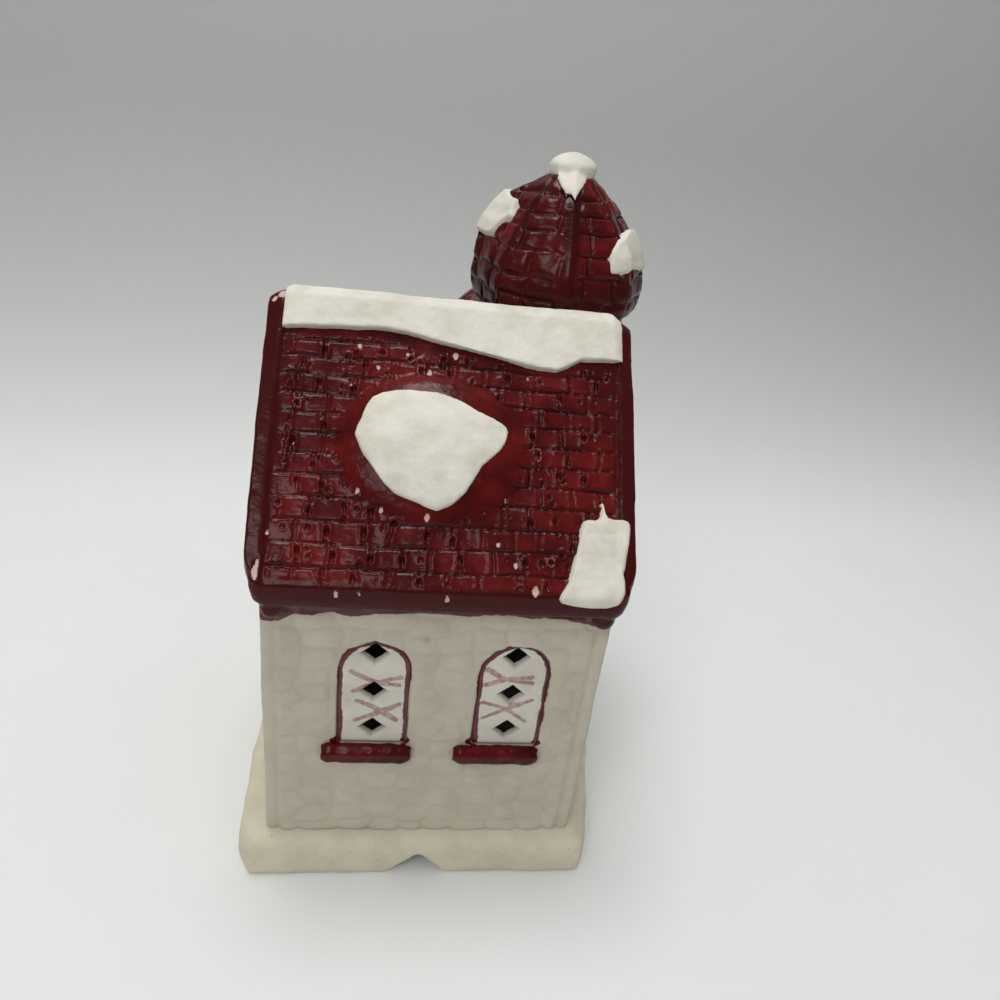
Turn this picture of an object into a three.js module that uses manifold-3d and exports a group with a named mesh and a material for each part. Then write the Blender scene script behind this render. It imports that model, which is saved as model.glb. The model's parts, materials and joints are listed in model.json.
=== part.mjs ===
// A porcelain village house with a corner tower, standing over a small plug-in lamp.
// Sizes are millimetres and angles are degrees. X runs to the right as seen from the back wall,
// Y runs from the back wall to the entrance, and Z runs up from the table.

import * as THREE from 'three';
import { mergeVertices } from 'three/addons/utils/BufferGeometryUtils.js';
import Module from 'manifold-3d';

const wasm = await Module();
wasm.setup();

// Place of the house over its footprint
const houseShiftX = -1.5;
const houseShiftY = -3;

// Clearances
const lutingGap = 0.3;
const runningGap = 0.35;
const cutPast = 1;

// Walls
const wallWidth = 66;
const wallDepth = 72;
const wallThickness = 3;
const wallTop = 70;

// Base, spread like a bank of snow
const baseHeight = 10.6;
const baseShoulder = 7.6;
const baseBackReach = 3.4;
const baseBackCorner = 36.5;
const baseLeftReach = 41;
const baseRightReach = 44;
const baseFrontReach = 47;
const baseCornerCut = 9;
const baseSkirtInset = 0.2;
const baseShoulderInset = 0.9;
const baseTopInset = 2.6;
const baseTopRound = 0.9;
const baseShell = 3.6;
const baseHollowTop = 6.4;

// Notch for the lead, cut through the back of the base
const notchX = -0.4;
const notchWidth = 12.4;
const notchHeight = 6;

// Main roof
const ridgeHeight = 118.1;
const eaveHeight = 75.5;
const eaveOverhang = 4.4;
const eaveLip = 5;
const eaveNoseInset = 0.4;
const eaveNoseRise = 0.6;
const soffitInset = 1.6;
const soffitRise = 0.2;
const roofThickness = 3.5;
const roofHalfWidth = 35;
const roofFlare = 0.035;
const ridgeRound = 2.2;
const bargeWidth = 3;
const bargeRise = 0.5;
const courseCount = 13;
const coursePitch = 4.37;
const courseTaper = 0.033;
const courseStart = 3.8;
const grooveWidth = 0.8;
const grooveDepth = 0.35;
const corbelRadius = 2.6;
const corbelInset = 2.4;

// Round swelling on the back slope
const swellingX = -3.5;
const swellingUp = 27.2;
const swellingHalfWidth = 18.2;
const swellingHalfHeight = 15.6;
const swellingRise = 3.4;
const swellingFullness = 2.6;
const swellingRings = 7;
const swellingSides = 28;

// Snow lying on the roof
const snowThickness = 1.2;
const ridgeSnowCrown = 1;
const ridgeSnowFront = 7;
const ridgeSnowLeftInset = 2.9;
const ridgeSnowRightInset = 1.9;

// Front gable, with its ridge beside the tower
const gableRidgeX = 8;
const gableRidgeHeight = 114.4;
const gableLeftHeight = 75.7;
const gableThickness = 3.4;

// Tower
const towerX = 24;
const towerY = 24;
const towerTurn = -4;
const shoulderCorner = 4;
const towerRadius = 16.5;
const towerShell = 2.6;
const towerLintelDrop = 6;
const capBottom = 113.4;
const capShell = 2.6;
const capTop = 142;
const capRadius = 20.1;
const knobRadius = 5.4;
const knobHeight = 4.4;
const dripReach = 11.2;
const dripFall = 4.4;
const dripHalfWidth = 3.2;
const leftCapSnowThickness = 1.6;
const leftCapSnowTurn = -60;
const rightCapSnowThickness = 1.2;
const rightCapSnowTurn = 45;

// Pierced windows
const paneThickness = 1.6;
const paneRecess = 0.4;
const paneWidth = 13.4;
const paneHeight = 25.2;
const paneBase = 36;
const slitHalfWidth = 3.2;
const slitHalfHeight = 2.8;
const slitSpacing = 9.3;
const lowestSlit = 3.6;
const backLeftPaneX = -11.7;
const backRightPaneX = 15.6;
const sidePaneSpacing = 29;
const rightPaneY = -15;
const frontPaneX = -11;
const frontPaneBase = 58;
const towerPaneWidth = 7;
const towerPaneHeight = 18.5;
const towerPaneBase = 78;
const archSteps = 10;
const sillWidth = 18.6;
const backLeftSillShift = -0.9;
const backRightSillShift = -1.7;
const sillHeight = 4.3;
const sillReach = 2.2;
const sillRoundShare = 0.28;
const towerSillWidth = 9.4;
const towerSillHeight = 2.6;
const towerSillReach = 1.6;

// Entrance
const doorX = -12;
const doorWidth = 15;
const doorHeight = 29;
const doorThickness = 2.2;
const doorRecess = 0.6;
const stepWidth = 21;
const stepDepth = 6.4;
const stepHeight = 3.2;
const knobBallRadius = 0.9;
const knobBallInset = 2.4;
const knobBallUp = 12.2;
const hoodThickness = 2.6;
const hoodReach = 2.4;
const hoodSideClear = 0.5;
const hoodTopClear = 0.4;

// Lamp stand
const standRadius = 24;
const standHeight = 7;
const standShell = 1.8;
const standRound = 2.4;
const standInnerRound = 1.6;
const standClearHeight = 1;
const platePanel = 1.4;
const glandBore = 1.8;
const glandWall = 0.95;
const glandReach = 4;
const glandClear = 0.2;
const padRadius = 3.2;
const padRingRadius = 17;
const padCount = 3;
const screwRingRadius = 11.5;
const screwRadius = 1.1;
const screwBossWall = 1.5;
const screwHeadRadius = 2;
const screwHeadHeight = 0.63;
const screwLength = 5;
const screwPoint = 0.8;
const screwHoleClear = 0.3;

// Lamp holder and bulb
const holderRadius = 9;
const holderBore = 7.2;
const holderHeight = 27;
const holderFloor = 4;
const holderSpigot = 3;
const holderRound = 0.6;
const holderLedge = 1.4;
const shellDrop = 1.2;
const threadRadius = 6;
const threadDepth = 0.5;
const threadPitch = 2.5;
const shellWall = 0.45;
const shellHeight = 16;
const capWall = 0.4;
const capHeight = 17;
const capStandUp = 1.6;
const capMouth = 3.4;
const capPlain = 2;
const contactWidth = 3.4;
const contactThickness = 0.5;
const contactRise = 3;
const contactReach = 2.6;
const rivetRadius = 1.3;
const rivetHead = 0.9;
const rivetClear = 0.3;
const insulatorDrop = 0.8;
const insulatorRadius = 3.1;
const glassWall = 0.8;
const glassRadius = 11;
const glassHeight = 42;
const glassNeck = 4.9;
const glassSeat = 4;
const tipRadius = 1.4;
const stemRadius = 3;
const stemHeight = 17;
const stemFoot = 0.6;
const leadRadius = 0.35;
const leadSpread = 1.1;
const leadLength = 8;
const filamentRadius = 0.6;
const filamentLength = 4.6;

// Numbers of flats round turned pieces
const standSides = 32;
const holderSides = 28;
const glassSides = 22;
const threadSides = 18;
const smallSides = 16;
const wireSides = 8;

// Worked out from the sizes above
const halfWidth = wallWidth / 2;
const halfDepth = wallDepth / 2;
const roofHalfRun = halfDepth + eaveOverhang;
const roofTan = (ridgeHeight - eaveHeight) / roofHalfRun;
const roofPitch = Math.atan(roofTan);
const roofDrop = roofThickness / Math.cos(roofPitch);
const slopeLength = roofHalfRun / Math.cos(roofPitch);
const gableTan = (gableRidgeHeight - gableLeftHeight) / (halfWidth + lutingGap + gableRidgeX);
const gableDrop = gableThickness / Math.cos(Math.atan(gableTan));
const towerFlat = towerRadius * Math.cos(Math.PI / 8);
const topOfAll = capTop + knobHeight;
const grooveStops = Array.from({ length: courseCount }, (_, course) => (
  courseStart + course * coursePitch - course ** 2 * courseTaper
));

// Finishes
const bisque = finish(0xcfcabf, 0.75);
const baseClay = finish(0xd2c9b2, 0.8);
const whiteClay = finish(0xe4e1d8, 0.7);
const snowClay = finish(0xe2dccd, 0.75);
const redGlaze = finish(0x6e1218, 0.3);
const palePlastic = finish(0xe9e7e0, 0.5);
const brass = finish(0xb9943f, 0.35, 0.9);
const steel = finish(0xa9abad, 0.35, 0.9);
const clearGlass = finish(0xe8eef0, 0.08);
const blackGlass = finish(0x1c1c20, 0.3);
const rubber = finish(0x2b2b2b, 0.9);
const tungsten = finish(0x5a5a5e, 0.5, 0.8);

function finish(color, roughness, metalness = 0) {
  return new THREE.MeshStandardMaterial({ color, roughness, metalness, flatShading: true });
}

// Joining and cutting

function bareGeometry(geometry) {
  const bare = geometry.clone();
  bare.deleteAttribute('normal');
  bare.deleteAttribute('uv');
  return mergeVertices(bare, 1e-4);
}

function signedVolume(positions, index) {
  let volume = 0;
  for (let i = 0; i < index.length; i += 3) {
    const [a, b, c] = [0, 1, 2].map((k) => new THREE.Vector3().fromArray(positions, 3 * index[i + k]));
    volume += a.dot(b.cross(c)) / 6;
  }
  return volume;
}

function solid(geometry) {
  const bare = bareGeometry(geometry);
  const vertProperties = Float32Array.from(bare.attributes.position.array);
  const triVerts = Uint32Array.from(bare.index.array);
  if (signedVolume(vertProperties, triVerts) < 0) triVerts.reverse();
  return new wasm.Manifold(new wasm.Mesh({ numProp: 3, vertProperties, triVerts }));
}

function join(...pieces) {
  return pieces.reduce((whole, piece) => whole.add(piece));
}

function cut(whole, ...tools) {
  return tools.reduce((rest, tool) => rest.subtract(tool), whole);
}

function surface(body) {
  const mesh = body.getMesh();
  const geometry = new THREE.BufferGeometry();
  geometry.setAttribute('position', new THREE.BufferAttribute(Float32Array.from(mesh.vertProperties), 3));
  geometry.setIndex(new THREE.BufferAttribute(Uint32Array.from(mesh.triVerts), 1));
  return geometry;
}

function piece(name, body, material) {
  const mesh = new THREE.Mesh(surface(body), material);
  mesh.name = name;
  return mesh;
}

// Prisms and turned shapes

function outline(points, holes = []) {
  const shape = new THREE.Shape(points.map(([a, b]) => new THREE.Vector2(a, b)));
  shape.holes = holes.map((hole) => new THREE.Path(hole.map(([a, b]) => new THREE.Vector2(a, b))));
  return shape;
}

function prism(points, depth, holes = []) {
  return new THREE.ExtrudeGeometry(outline(points, holes), { depth, bevelEnabled: false });
}

// Outline in X and Y, from one height to another
function prismUp(points, low, high) {
  return prism(points, high - low).translate(0, 0, low);
}

// Outline in Y and Z, from one X to another
function prismAcross(points, left, right) {
  const turn = new THREE.Matrix4().makeBasis(
    new THREE.Vector3(0, 1, 0),
    new THREE.Vector3(0, 0, 1),
    new THREE.Vector3(1, 0, 0),
  );
  return prism(points, right - left).applyMatrix4(turn).translate(left, 0, 0);
}

// Outline in X and Z, from one Y to another
function prismDeep(points, back, front, holes = []) {
  const turn = new THREE.Matrix4().makeBasis(
    new THREE.Vector3(1, 0, 0),
    new THREE.Vector3(0, 0, 1),
    new THREE.Vector3(0, -1, 0),
  );
  return prism(points, front - back, holes).applyMatrix4(turn).translate(0, front, 0);
}

function box(left, right, back, front, low, high) {
  const geometry = new THREE.BoxGeometry(right - left, front - back, high - low);
  return geometry.translate((left + right) / 2, (back + front) / 2, (low + high) / 2);
}

// Profile of radius and height, turned about Z
function turned(profile, sides = holderSides) {
  const points = profile.map(([radius, height]) => new THREE.Vector2(radius, height));
  return new THREE.LatheGeometry(points, sides).rotateX(Math.PI / 2);
}

// Rings with the same number of points each, stacked into one closed body
function stacked(rings) {
  const count = rings[0].points.length;
  const positions = rings.flatMap((ring) => ring.points.flatMap(([x, y]) => [x, y, ring.z]));
  const index = [];
  for (let level = 0; level + 1 < rings.length; level += 1) {
    for (let i = 0; i < count; i += 1) {
      const a = level * count + i;
      const b = level * count + ((i + 1) % count);
      index.push(a, b, b + count, a, b + count, a + count);
    }
  }
  const caps = [[rings[0], 0, true], [rings.at(-1), (rings.length - 1) * count, false]];
  for (const [ring, offset, below] of caps) {
    const flat = ring.points.map(([x, y]) => new THREE.Vector2(x, y));
    for (const [a, b, c] of THREE.ShapeUtils.triangulateShape(flat, [])) {
      index.push(offset + a, offset + (below ? c : b), offset + (below ? b : c));
    }
  }
  const geometry = new THREE.BufferGeometry();
  geometry.setAttribute('position', new THREE.Float32BufferAttribute(positions, 3));
  geometry.setIndex(index);
  return geometry;
}

// Outline round the tower's middle, with its one corner that looks left drawn out by a shoulder
function octagon(radius, shoulder = 0) {
  return Array.from({ length: 8 }, (_, corner) => {
    const angle = THREE.MathUtils.degToRad(towerTurn + corner * 45);
    const reach = radius + (corner === shoulderCorner ? shoulder : 0);
    return [towerX + reach * Math.cos(angle), towerY + reach * Math.sin(angle)];
  });
}

// Base

// Corners of the base past its back edge, as shares of the way out to a side and from back to front
const baseCornerShares = [
  [0.945, 0.243],
  [1, 0.359],
  [0.986, 0.815],
  [0.886, 0.931],
  [0.682, 0.993],
  [0.09, 1],
  [-0.537, 0.984],
  [-0.78, 0.948],
  [-0.951, 0.861],
  [-1, 0.699],
  [-0.985, 0.266],
  [-0.966, 0.069],
];

// Outline of the base, pulled in by an inset on every side
function baseOutline(inset) {
  const back = -(halfDepth + baseBackReach) + inset;
  const front = baseFrontReach - inset;
  const corner = baseBackCorner - inset;
  const rim = baseCornerShares.map(([across, deep]) => [
    across * ((across < 0 ? baseLeftReach : baseRightReach) - inset),
    THREE.MathUtils.lerp(back, front, deep),
  ]);
  return [[-corner, back], [corner, back], [corner + baseCornerCut / 4, back + baseCornerCut / 2], ...rim];
}

function interior(low, high) {
  const house = solid(box(-halfWidth + wallThickness, halfWidth - wallThickness,
    -halfDepth + wallThickness, halfDepth - wallThickness, low, high));
  return house.add(solid(prismUp(octagon(towerRadius - towerShell), low, high)));
}

function basePlinth() {
  const skirt = solid(stacked([
    { z: 0, points: baseOutline(0) },
    { z: baseShoulder, points: baseOutline(baseSkirtInset) },
    { z: baseHeight - baseTopRound, points: baseOutline(baseShoulderInset) },
    { z: baseHeight, points: baseOutline(baseTopInset) },
  ]));
  const hollow = solid(prismUp(baseOutline(baseShell), -cutPast, baseHollowTop));
  const halfNotch = (notchWidth / 2) * (1 + cutPast / notchHeight);
  const notch = solid(prismDeep([
    [notchX - halfNotch, -cutPast],
    [notchX + halfNotch, -cutPast],
    [notchX, notchHeight],
  ], -halfDepth - baseBackReach - cutPast, -halfDepth + wallThickness));
  return cut(skirt, hollow, interior(-cutPast, baseHeight + cutPast), notch);
}

// Walls

function archOutline(centreX, low, width, height) {
  const radius = width / 2;
  const spring = low + height - radius;
  const arch = Array.from({ length: archSteps + 1 }, (_, step) => {
    const angle = (step / archSteps) * Math.PI;
    return [centreX + radius * Math.cos(angle), spring + radius * Math.sin(angle)];
  });
  return [[centreX - radius, low], [centreX + radius, low], ...arch];
}

// Height of the underside of the main roof
function underMain(y) {
  return ridgeHeight - roofDrop - Math.abs(y) * roofTan;
}

// Heights of the top and the underside of the front gable's roof
function gableTop(x) {
  return gableRidgeHeight - Math.abs(x - gableRidgeX) * gableTan;
}

function underGable(x) {
  return gableTop(x) - gableDrop;
}

// Outline in Y and Z of a gable end, up to the underside of the roof
function gableEndOutline() {
  const seat = halfDepth - wallThickness - lutingGap;
  return [
    [-halfDepth, baseHeight],
    [halfDepth, baseHeight],
    [halfDepth, wallTop],
    [seat, wallTop],
    [seat, underMain(seat) - lutingGap],
    [0, underMain(0) - lutingGap],
    [-seat, underMain(seat) - lutingGap],
    [-seat, wallTop],
    [-halfDepth, wallTop],
  ];
}

function windowOpening(place) {
  const width = place.width + 2 * lutingGap;
  const shape = archOutline(0, place.low - lutingGap, width, place.height + 2 * lutingGap);
  return atWall(solid(prismDeep(shape, -cutPast, wallThickness + cutPast)), place);
}

// Turns a body whose outer face looks along -Y at y = 0 to face along a wall's direction
function atWall(body, place) {
  return body.rotate([0, 0, place.turn]).translate([place.x, place.y, 0]);
}

// Middle of one of the tower's eight faces, counted from the right
function towerFace(number) {
  const direction = towerTurn + (number + 0.5) * 45;
  const angle = THREE.MathUtils.degToRad(direction);
  return {
    x: towerX + towerFlat * Math.cos(angle), y: towerY + towerFlat * Math.sin(angle), turn: direction + 90,
  };
}

const panePlaces = {
  back_left: { x: backLeftPaneX, y: -halfDepth, turn: 0, sillShift: backLeftSillShift },
  back_right: { x: backRightPaneX, y: -halfDepth, turn: 0, sillShift: backRightSillShift },
  left_rear: { x: -halfWidth, y: -sidePaneSpacing / 2, turn: -90 },
  left_front: { x: -halfWidth, y: sidePaneSpacing / 2, turn: -90 },
  right: { x: halfWidth, y: rightPaneY, turn: 90 },
};
for (const place of Object.values(panePlaces)) {
  Object.assign(place, { low: paneBase, width: paneWidth, height: paneHeight, slits: 3 });
}
const gablePane = {
  x: frontPaneX, y: halfDepth, turn: 180,
  low: frontPaneBase, width: paneWidth, height: paneHeight, slits: 3,
};
const towerPane = { low: towerPaneBase, width: towerPaneWidth, height: towerPaneHeight, slits: 2 };
const towerPanes = {
  front: { ...towerPane, ...towerFace(1) },
  side: { ...towerPane, ...towerFace(0) },
};
const doorPlace = {
  x: doorX, y: halfDepth, turn: 180, low: baseHeight, width: doorWidth, height: doorHeight,
};

function houseWalls() {
  const shell = cut(
    solid(prismAcross(gableEndOutline(), -halfWidth, halfWidth)),
    solid(box(-halfWidth + wallThickness, halfWidth - wallThickness,
      -halfDepth + wallThickness, halfDepth - wallThickness, 0, topOfAll)),
  );
  const gable = solid(prismDeep([
    [-halfWidth, baseHeight],
    [towerX, baseHeight],
    [towerX, underGable(towerX) - lutingGap],
    [gableRidgeX, underGable(gableRidgeX) - lutingGap],
    [-halfWidth, underGable(-halfWidth) - lutingGap],
  ], halfDepth - wallThickness, halfDepth));
  const openings = [...Object.values(panePlaces), gablePane, doorPlace].map(windowOpening);
  return cut(join(shell, gable), towerCut(), ...openings);
}

function pane(place) {
  const holes = Array.from({ length: place.slits }, (_, slit) => {
    const z = place.low + lowestSlit + slit * slitSpacing;
    return [[-slitHalfWidth, z], [0, z - slitHalfHeight], [slitHalfWidth, z], [0, z + slitHalfHeight]];
  });
  const shape = archOutline(0, place.low, place.width, place.height);
  return atWall(solid(prismDeep(shape, paneRecess, paneRecess + paneThickness, holes)), place);
}

function sill(place, width = sillWidth, height = sillHeight, reach = sillReach) {
  const top = place.low - lutingGap;
  const soft = height * sillRoundShare;
  const profile = [
    [-lutingGap, top - height],
    [-lutingGap, top],
    [-reach + soft, top],
    [-reach, top - soft],
    [-reach, top - height + soft],
    [-reach + soft, top - height],
  ];
  const middle = place.sillShift ?? 0;
  return atWall(solid(prismAcross(profile, middle - width / 2, middle + width / 2)), place);
}

// Main roof

// Point on a slope, given its way up from the eave and its rise off the surface
function onSlope(up, rise) {
  return [
    -roofHalfRun + up * Math.cos(roofPitch) - rise * Math.sin(roofPitch),
    eaveHeight + up * Math.sin(roofPitch) + rise * Math.cos(roofPitch),
  ];
}

// Line over the back slope from the eave to the ridge
function slopeLine(rise, grooved = false) {
  const grooves = grooved ? grooveStops.flatMap((stop) => [
    onSlope(stop - grooveWidth / 2, rise),
    onSlope(stop, rise - grooveDepth),
    onSlope(stop + grooveWidth / 2, rise),
  ]) : [];
  return [
    onSlope(eaveNoseInset, rise),
    ...grooves,
    onSlope(slopeLength - ridgeRound, rise),
    [-ridgeRound * 0.3, onSlope(slopeLength - ridgeRound * 0.55, rise)[1]],
  ];
}

// The same line on the front slope, from the ridge to the eave
function mirrored(points) {
  return points.map(([y, z]) => [-y, z]).reverse();
}

function roofOutline(rise, grooved) {
  const lip = eaveLip - lutingGap;
  const half = [
    [-halfDepth + wallThickness, wallTop],
    [-halfDepth, wallTop],
    [-roofHalfRun + soffitInset, eaveHeight - eaveLip + soffitRise],
    [-roofHalfRun + eaveNoseInset, eaveHeight - lip + eaveNoseRise],
    [-roofHalfRun, eaveHeight - lip / 2],
    ...slopeLine(rise, grooved),
  ];
  const seat = halfDepth - wallThickness;
  const under = [[seat, underMain(seat)], [0, underMain(0)], [-seat, underMain(seat)]];
  return [...half, ...mirrored(half), ...under];
}

// Widens the roof a little towards the ridge
function flared(geometry) {
  const position = geometry.attributes.position;
  for (let i = 0; i < position.count; i += 1) {
    const share = (position.getZ(i) - eaveHeight) / (ridgeHeight - eaveHeight);
    position.setX(i, position.getX(i) * (1 + roofFlare * Math.max(share, 0)));
  }
  return geometry;
}

// Way up and across the back slope, laid onto it
function ontoBackSlope(geometry) {
  const up = new THREE.Vector3(0, Math.cos(roofPitch), Math.sin(roofPitch));
  const off = new THREE.Vector3(0, -Math.sin(roofPitch), Math.cos(roofPitch));
  const turn = new THREE.Matrix4().makeBasis(new THREE.Vector3(1, 0, 0), up, off);
  turn.setPosition(0, -roofHalfRun, eaveHeight);
  return geometry.applyMatrix4(turn);
}

function swellingRiseAt(x, up) {
  const reach = Math.hypot((x - swellingX) / swellingHalfWidth, (up - swellingUp) / swellingHalfHeight);
  return swellingRise * (1 - Math.min(reach, 1) ** swellingFullness);
}

// Body over the swelling's round footprint, between two sheets whose heights follow from its rise
function swellingBody(...sheets) {
  const centreShare = 0.001;
  const rings = Array.from({ length: swellingRings }, (_, ring) => (
    Math.max(ring / (swellingRings - 1), centreShare)
  ));
  const positions = [];
  for (const heightAt of sheets) {
    for (const ring of rings) {
      for (let i = 0; i < swellingSides; i += 1) {
        const angle = (i / swellingSides) * Math.PI * 2;
        const x = swellingX + ring * swellingHalfWidth * Math.cos(angle);
        const up = swellingUp + ring * swellingHalfHeight * Math.sin(angle);
        positions.push(x, up, heightAt(swellingRiseAt(x, up)));
      }
    }
  }
  return sheetBody(positions, rings.length, swellingSides);
}

// Two stacked sheets of rings, closed in the middle and round the edge
function sheetBody(positions, ringCount, around) {
  const index = [];
  const at = (sheet, ring, i) => (sheet * ringCount + ring) * around + (i % around);
  for (let i = 0; i < around; i += 1) {
    for (let ring = 0; ring + 1 < ringCount; ring += 1) {
      const low = [at(0, ring, i), at(0, ring, i + 1), at(0, ring + 1, i + 1), at(0, ring + 1, i)];
      const high = [at(1, ring, i), at(1, ring, i + 1), at(1, ring + 1, i + 1), at(1, ring + 1, i)];
      index.push(low[0], low[1], low[2], low[0], low[2], low[3]);
      index.push(high[0], high[2], high[1], high[0], high[3], high[2]);
    }
    const edge = ringCount - 1;
    index.push(at(0, edge, i), at(0, edge, i + 1), at(1, edge, i + 1));
    index.push(at(0, edge, i), at(1, edge, i + 1), at(1, edge, i));
    if (i > 0 && i + 1 < around) {
      index.push(at(0, 0, 0), at(0, 0, i + 1), at(0, 0, i));
      index.push(at(1, 0, 0), at(1, 0, i), at(1, 0, i + 1));
    }
  }
  const geometry = new THREE.BufferGeometry();
  geometry.setAttribute('position', new THREE.Float32BufferAttribute(positions, 3));
  geometry.setIndex(index);
  return geometry;
}

// Room for the tower's shaft
function towerCut() {
  return solid(prismUp(octagon(towerRadius + lutingGap), 0, topOfAll));
}

function gableRoof() {
  const left = -halfWidth - lutingGap;
  const over = [
    [left, gableTop(left)],
    [gableRidgeX - ridgeRound, gableTop(gableRidgeX - ridgeRound)],
    [gableRidgeX, gableTop(gableRidgeX + ridgeRound * 0.4)],
    [gableRidgeX + ridgeRound, gableTop(gableRidgeX + ridgeRound)],
    [towerX, gableTop(towerX)],
  ];
  const under = [
    [towerX, underGable(towerX)],
    [gableRidgeX, underGable(gableRidgeX)],
    [left, underGable(left)],
  ];
  const raised = over.map(([x, z]) => [x, z + bargeRise]);
  return join(
    solid(prismDeep([...over, ...under], 0, roofHalfRun)),
    solid(prismDeep([...raised, ...under], roofHalfRun - bargeWidth, roofHalfRun)),
  );
}

// Room behind the main roof's shell, from wall to wall
function atticCut(reach) {
  const seat = halfDepth - wallThickness;
  return solid(prismAcross([
    [-seat, baseHeight],
    [seat, baseHeight],
    [seat, underMain(seat)],
    [0, underMain(0)],
    [-seat, underMain(seat)],
  ], -reach, reach));
}

// Room under the front gable's roof, out past the eave
function underFrontCut(reach) {
  return solid(prismDeep([
    [-reach, baseHeight],
    [towerX, baseHeight],
    [towerX, underGable(towerX)],
    [gableRidgeX, underGable(gableRidgeX)],
    [-reach, underGable(-reach)],
  ], 0, roofHalfRun + cutPast));
}

function mainRoof() {
  const reach = halfWidth + lutingGap;
  const field = solid(flared(prismAcross(roofOutline(0, true), -roofHalfWidth, roofHalfWidth)));
  const ribs = [-1, 1].map((side) => {
    const edges = [side * roofHalfWidth, side * (roofHalfWidth - bargeWidth)].sort((a, b) => a - b);
    return solid(flared(prismAcross(roofOutline(bargeRise, false), ...edges)));
  });
  const swelling = solid(ontoBackSlope(swellingBody(() => -roofThickness / 2, (rise) => rise)));
  const corbels = [-1, 1].map((side) => solid(new THREE.SphereGeometry(corbelRadius, 12, 8)
    .translate(side * (halfWidth - corbelInset), -halfDepth - corbelRadius / 2, wallTop)));
  const walls = solid(box(-reach, reach, -halfDepth - lutingGap, halfDepth + lutingGap, 0, wallTop));
  const outsideTower = solid(box(towerX, roofHalfWidth * 2, towerY, roofHalfRun + cutPast, 0, topOfAll));
  const shell = join(field, ...ribs, ...corbels, swelling, cut(gableRoof(), atticCut(reach)));
  return cut(shell, underFrontCut(reach), walls, outsideTower, towerCut(), roomUnderCap());
}

// Snow

// Outlines of the snow patches: shares of the swelling's half width and half height from its middle
const moundShares = [
  [-0.639, 0.587], [-0.404, 0.693], [-0.088, 0.694], [0.146, 0.629], [0.443, 0.458], [0.747, 0.313],
  [0.765, 0.179], [0.687, -0.02], [0.513, -0.224], [0.325, -0.576], [0.072, -0.786], [-0.172, -0.696],
  [-0.368, -0.622], [-0.544, -0.402], [-0.777, 0.077], [-0.723, 0.295],
];
// Shares of the roof's half width and of the slope's length from the eave
const ridgeSnowShares = [
  [-1, 0.856], [-0.62, 0.872], [-0.378, 0.88], [-0.269, 0.872], [-0.032, 0.841], [0.223, 0.81],
  [0.448, 0.785], [0.57, 0.78], [0.64, 0.8], [0.715, 0.829], [0.841, 0.834], [1, 0.836],
];
const cornerSnowShares = [
  [0.608, 0.022], [0.903, 0.022], [0.922, 0.093], [0.965, 0.204], [0.961, 0.255], [0.862, 0.262],
  [0.83, 0.317], [0.812, 0.265], [0.721, 0.251], [0.663, 0.122],
];
// Shares of the half width of the walls and of the roof's run from the ridge to the front
const gableSnowShares = [
  [-0.773, 0.926], [-0.606, 0.802], [-0.394, 0.681], [-0.288, 0.743], [-0.348, 0.866], [-0.455, 0.955],
];
// Shares of the cap's radius and height
const leftCapSnowShares = [
  [-0.6, 0.585], [-0.343, 0.562], [-0.17, 0.548], [-0.08, 0.57], [0, 0.66], [0.04, 0.691],
  [0, 0.733], [-0.06, 0.8], [-0.22, 0.827], [-0.3, 0.86], [-0.44, 0.84], [-0.54, 0.75], [-0.62, 0.655],
];
const rightCapSnowShares = [
  [-0.326, 0.415], [-0.14, 0.434], [0.2, 0.45], [0.4, 0.5], [0.42, 0.6],
  [0.32, 0.666], [-0.026, 0.665], [-0.158, 0.623], [-0.266, 0.538],
];

function sized(edge, acrossUnit, upUnit, middleAcross = 0, middleUp = 0) {
  return edge.map(([across, up]) => [middleAcross + across * acrossUnit, middleUp + up * upUnit]);
}

// Smooth closed line through points
function softOutline(points, steps = 2) {
  const curve = new THREE.CatmullRomCurve3(points.map(([a, b]) => new THREE.Vector3(a, b, 0)), true);
  return curve.getPoints(points.length * steps).slice(0, -1).map((point) => [point.x, point.y]);
}

// Column standing on the back slope, over an outline of ways across and up it
function slopeColumn(edge, low, high) {
  return solid(ontoBackSlope(prism(edge, high - low).translate(0, 0, low)));
}

function moundSnow() {
  const edge = sized(moundShares, swellingHalfWidth, swellingHalfHeight, swellingX, swellingUp);
  const blanket = swellingBody((rise) => rise + lutingGap, (rise) => rise + lutingGap + snowThickness);
  const reach = swellingRise + lutingGap + 2 * snowThickness;
  return slopeColumn(softOutline(edge), 0, reach).intersect(solid(ontoBackSlope(blanket)));
}

function ridgeSnow() {
  const lower = sized(ridgeSnowShares, roofHalfWidth, slopeLength);
  const left = ridgeSnowLeftInset - roofHalfWidth;
  const right = roofHalfWidth - ridgeSnowRightInset;
  const rise = bargeRise + lutingGap;
  const [above, below] = [[rise + snowThickness, ridgeSnowCrown], [rise, 0]].map(([height, crown]) => {
    const line = slopeLine(height);
    // The snow is thicker along the ridge
    line.at(-2)[1] += crown;
    line.at(-1)[1] += crown;
    return [...line, ...mirrored(line)];
  });
  const cover = solid(flared(prismAcross([...above, ...below.reverse()], left, right)));
  const top = slopeLength + cutPast;
  const band = [...lower, [lower.at(-1)[0], top], [lower[0][0], top]];
  const keepBack = slopeColumn(band, -2 * roofThickness, 4 * roofThickness);
  const far = 2 * roofHalfWidth;
  const keepFront = solid(box(-far, far, -cutPast, ridgeSnowFront, eaveHeight, topOfAll));
  const clearOfGable = solid(prismDeep([
    [-roofHalfWidth, baseHeight],
    [towerX, baseHeight],
    [towerX, gableTop(towerX) + rise],
    [gableRidgeX, gableTop(gableRidgeX) + rise],
    [-roofHalfWidth, gableTop(-roofHalfWidth) + rise],
  ], 0, roofHalfRun));
  return cut(cover.intersect(join(keepBack, keepFront)), clearOfGable, towerCut(), roomUnderCap());
}

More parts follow.
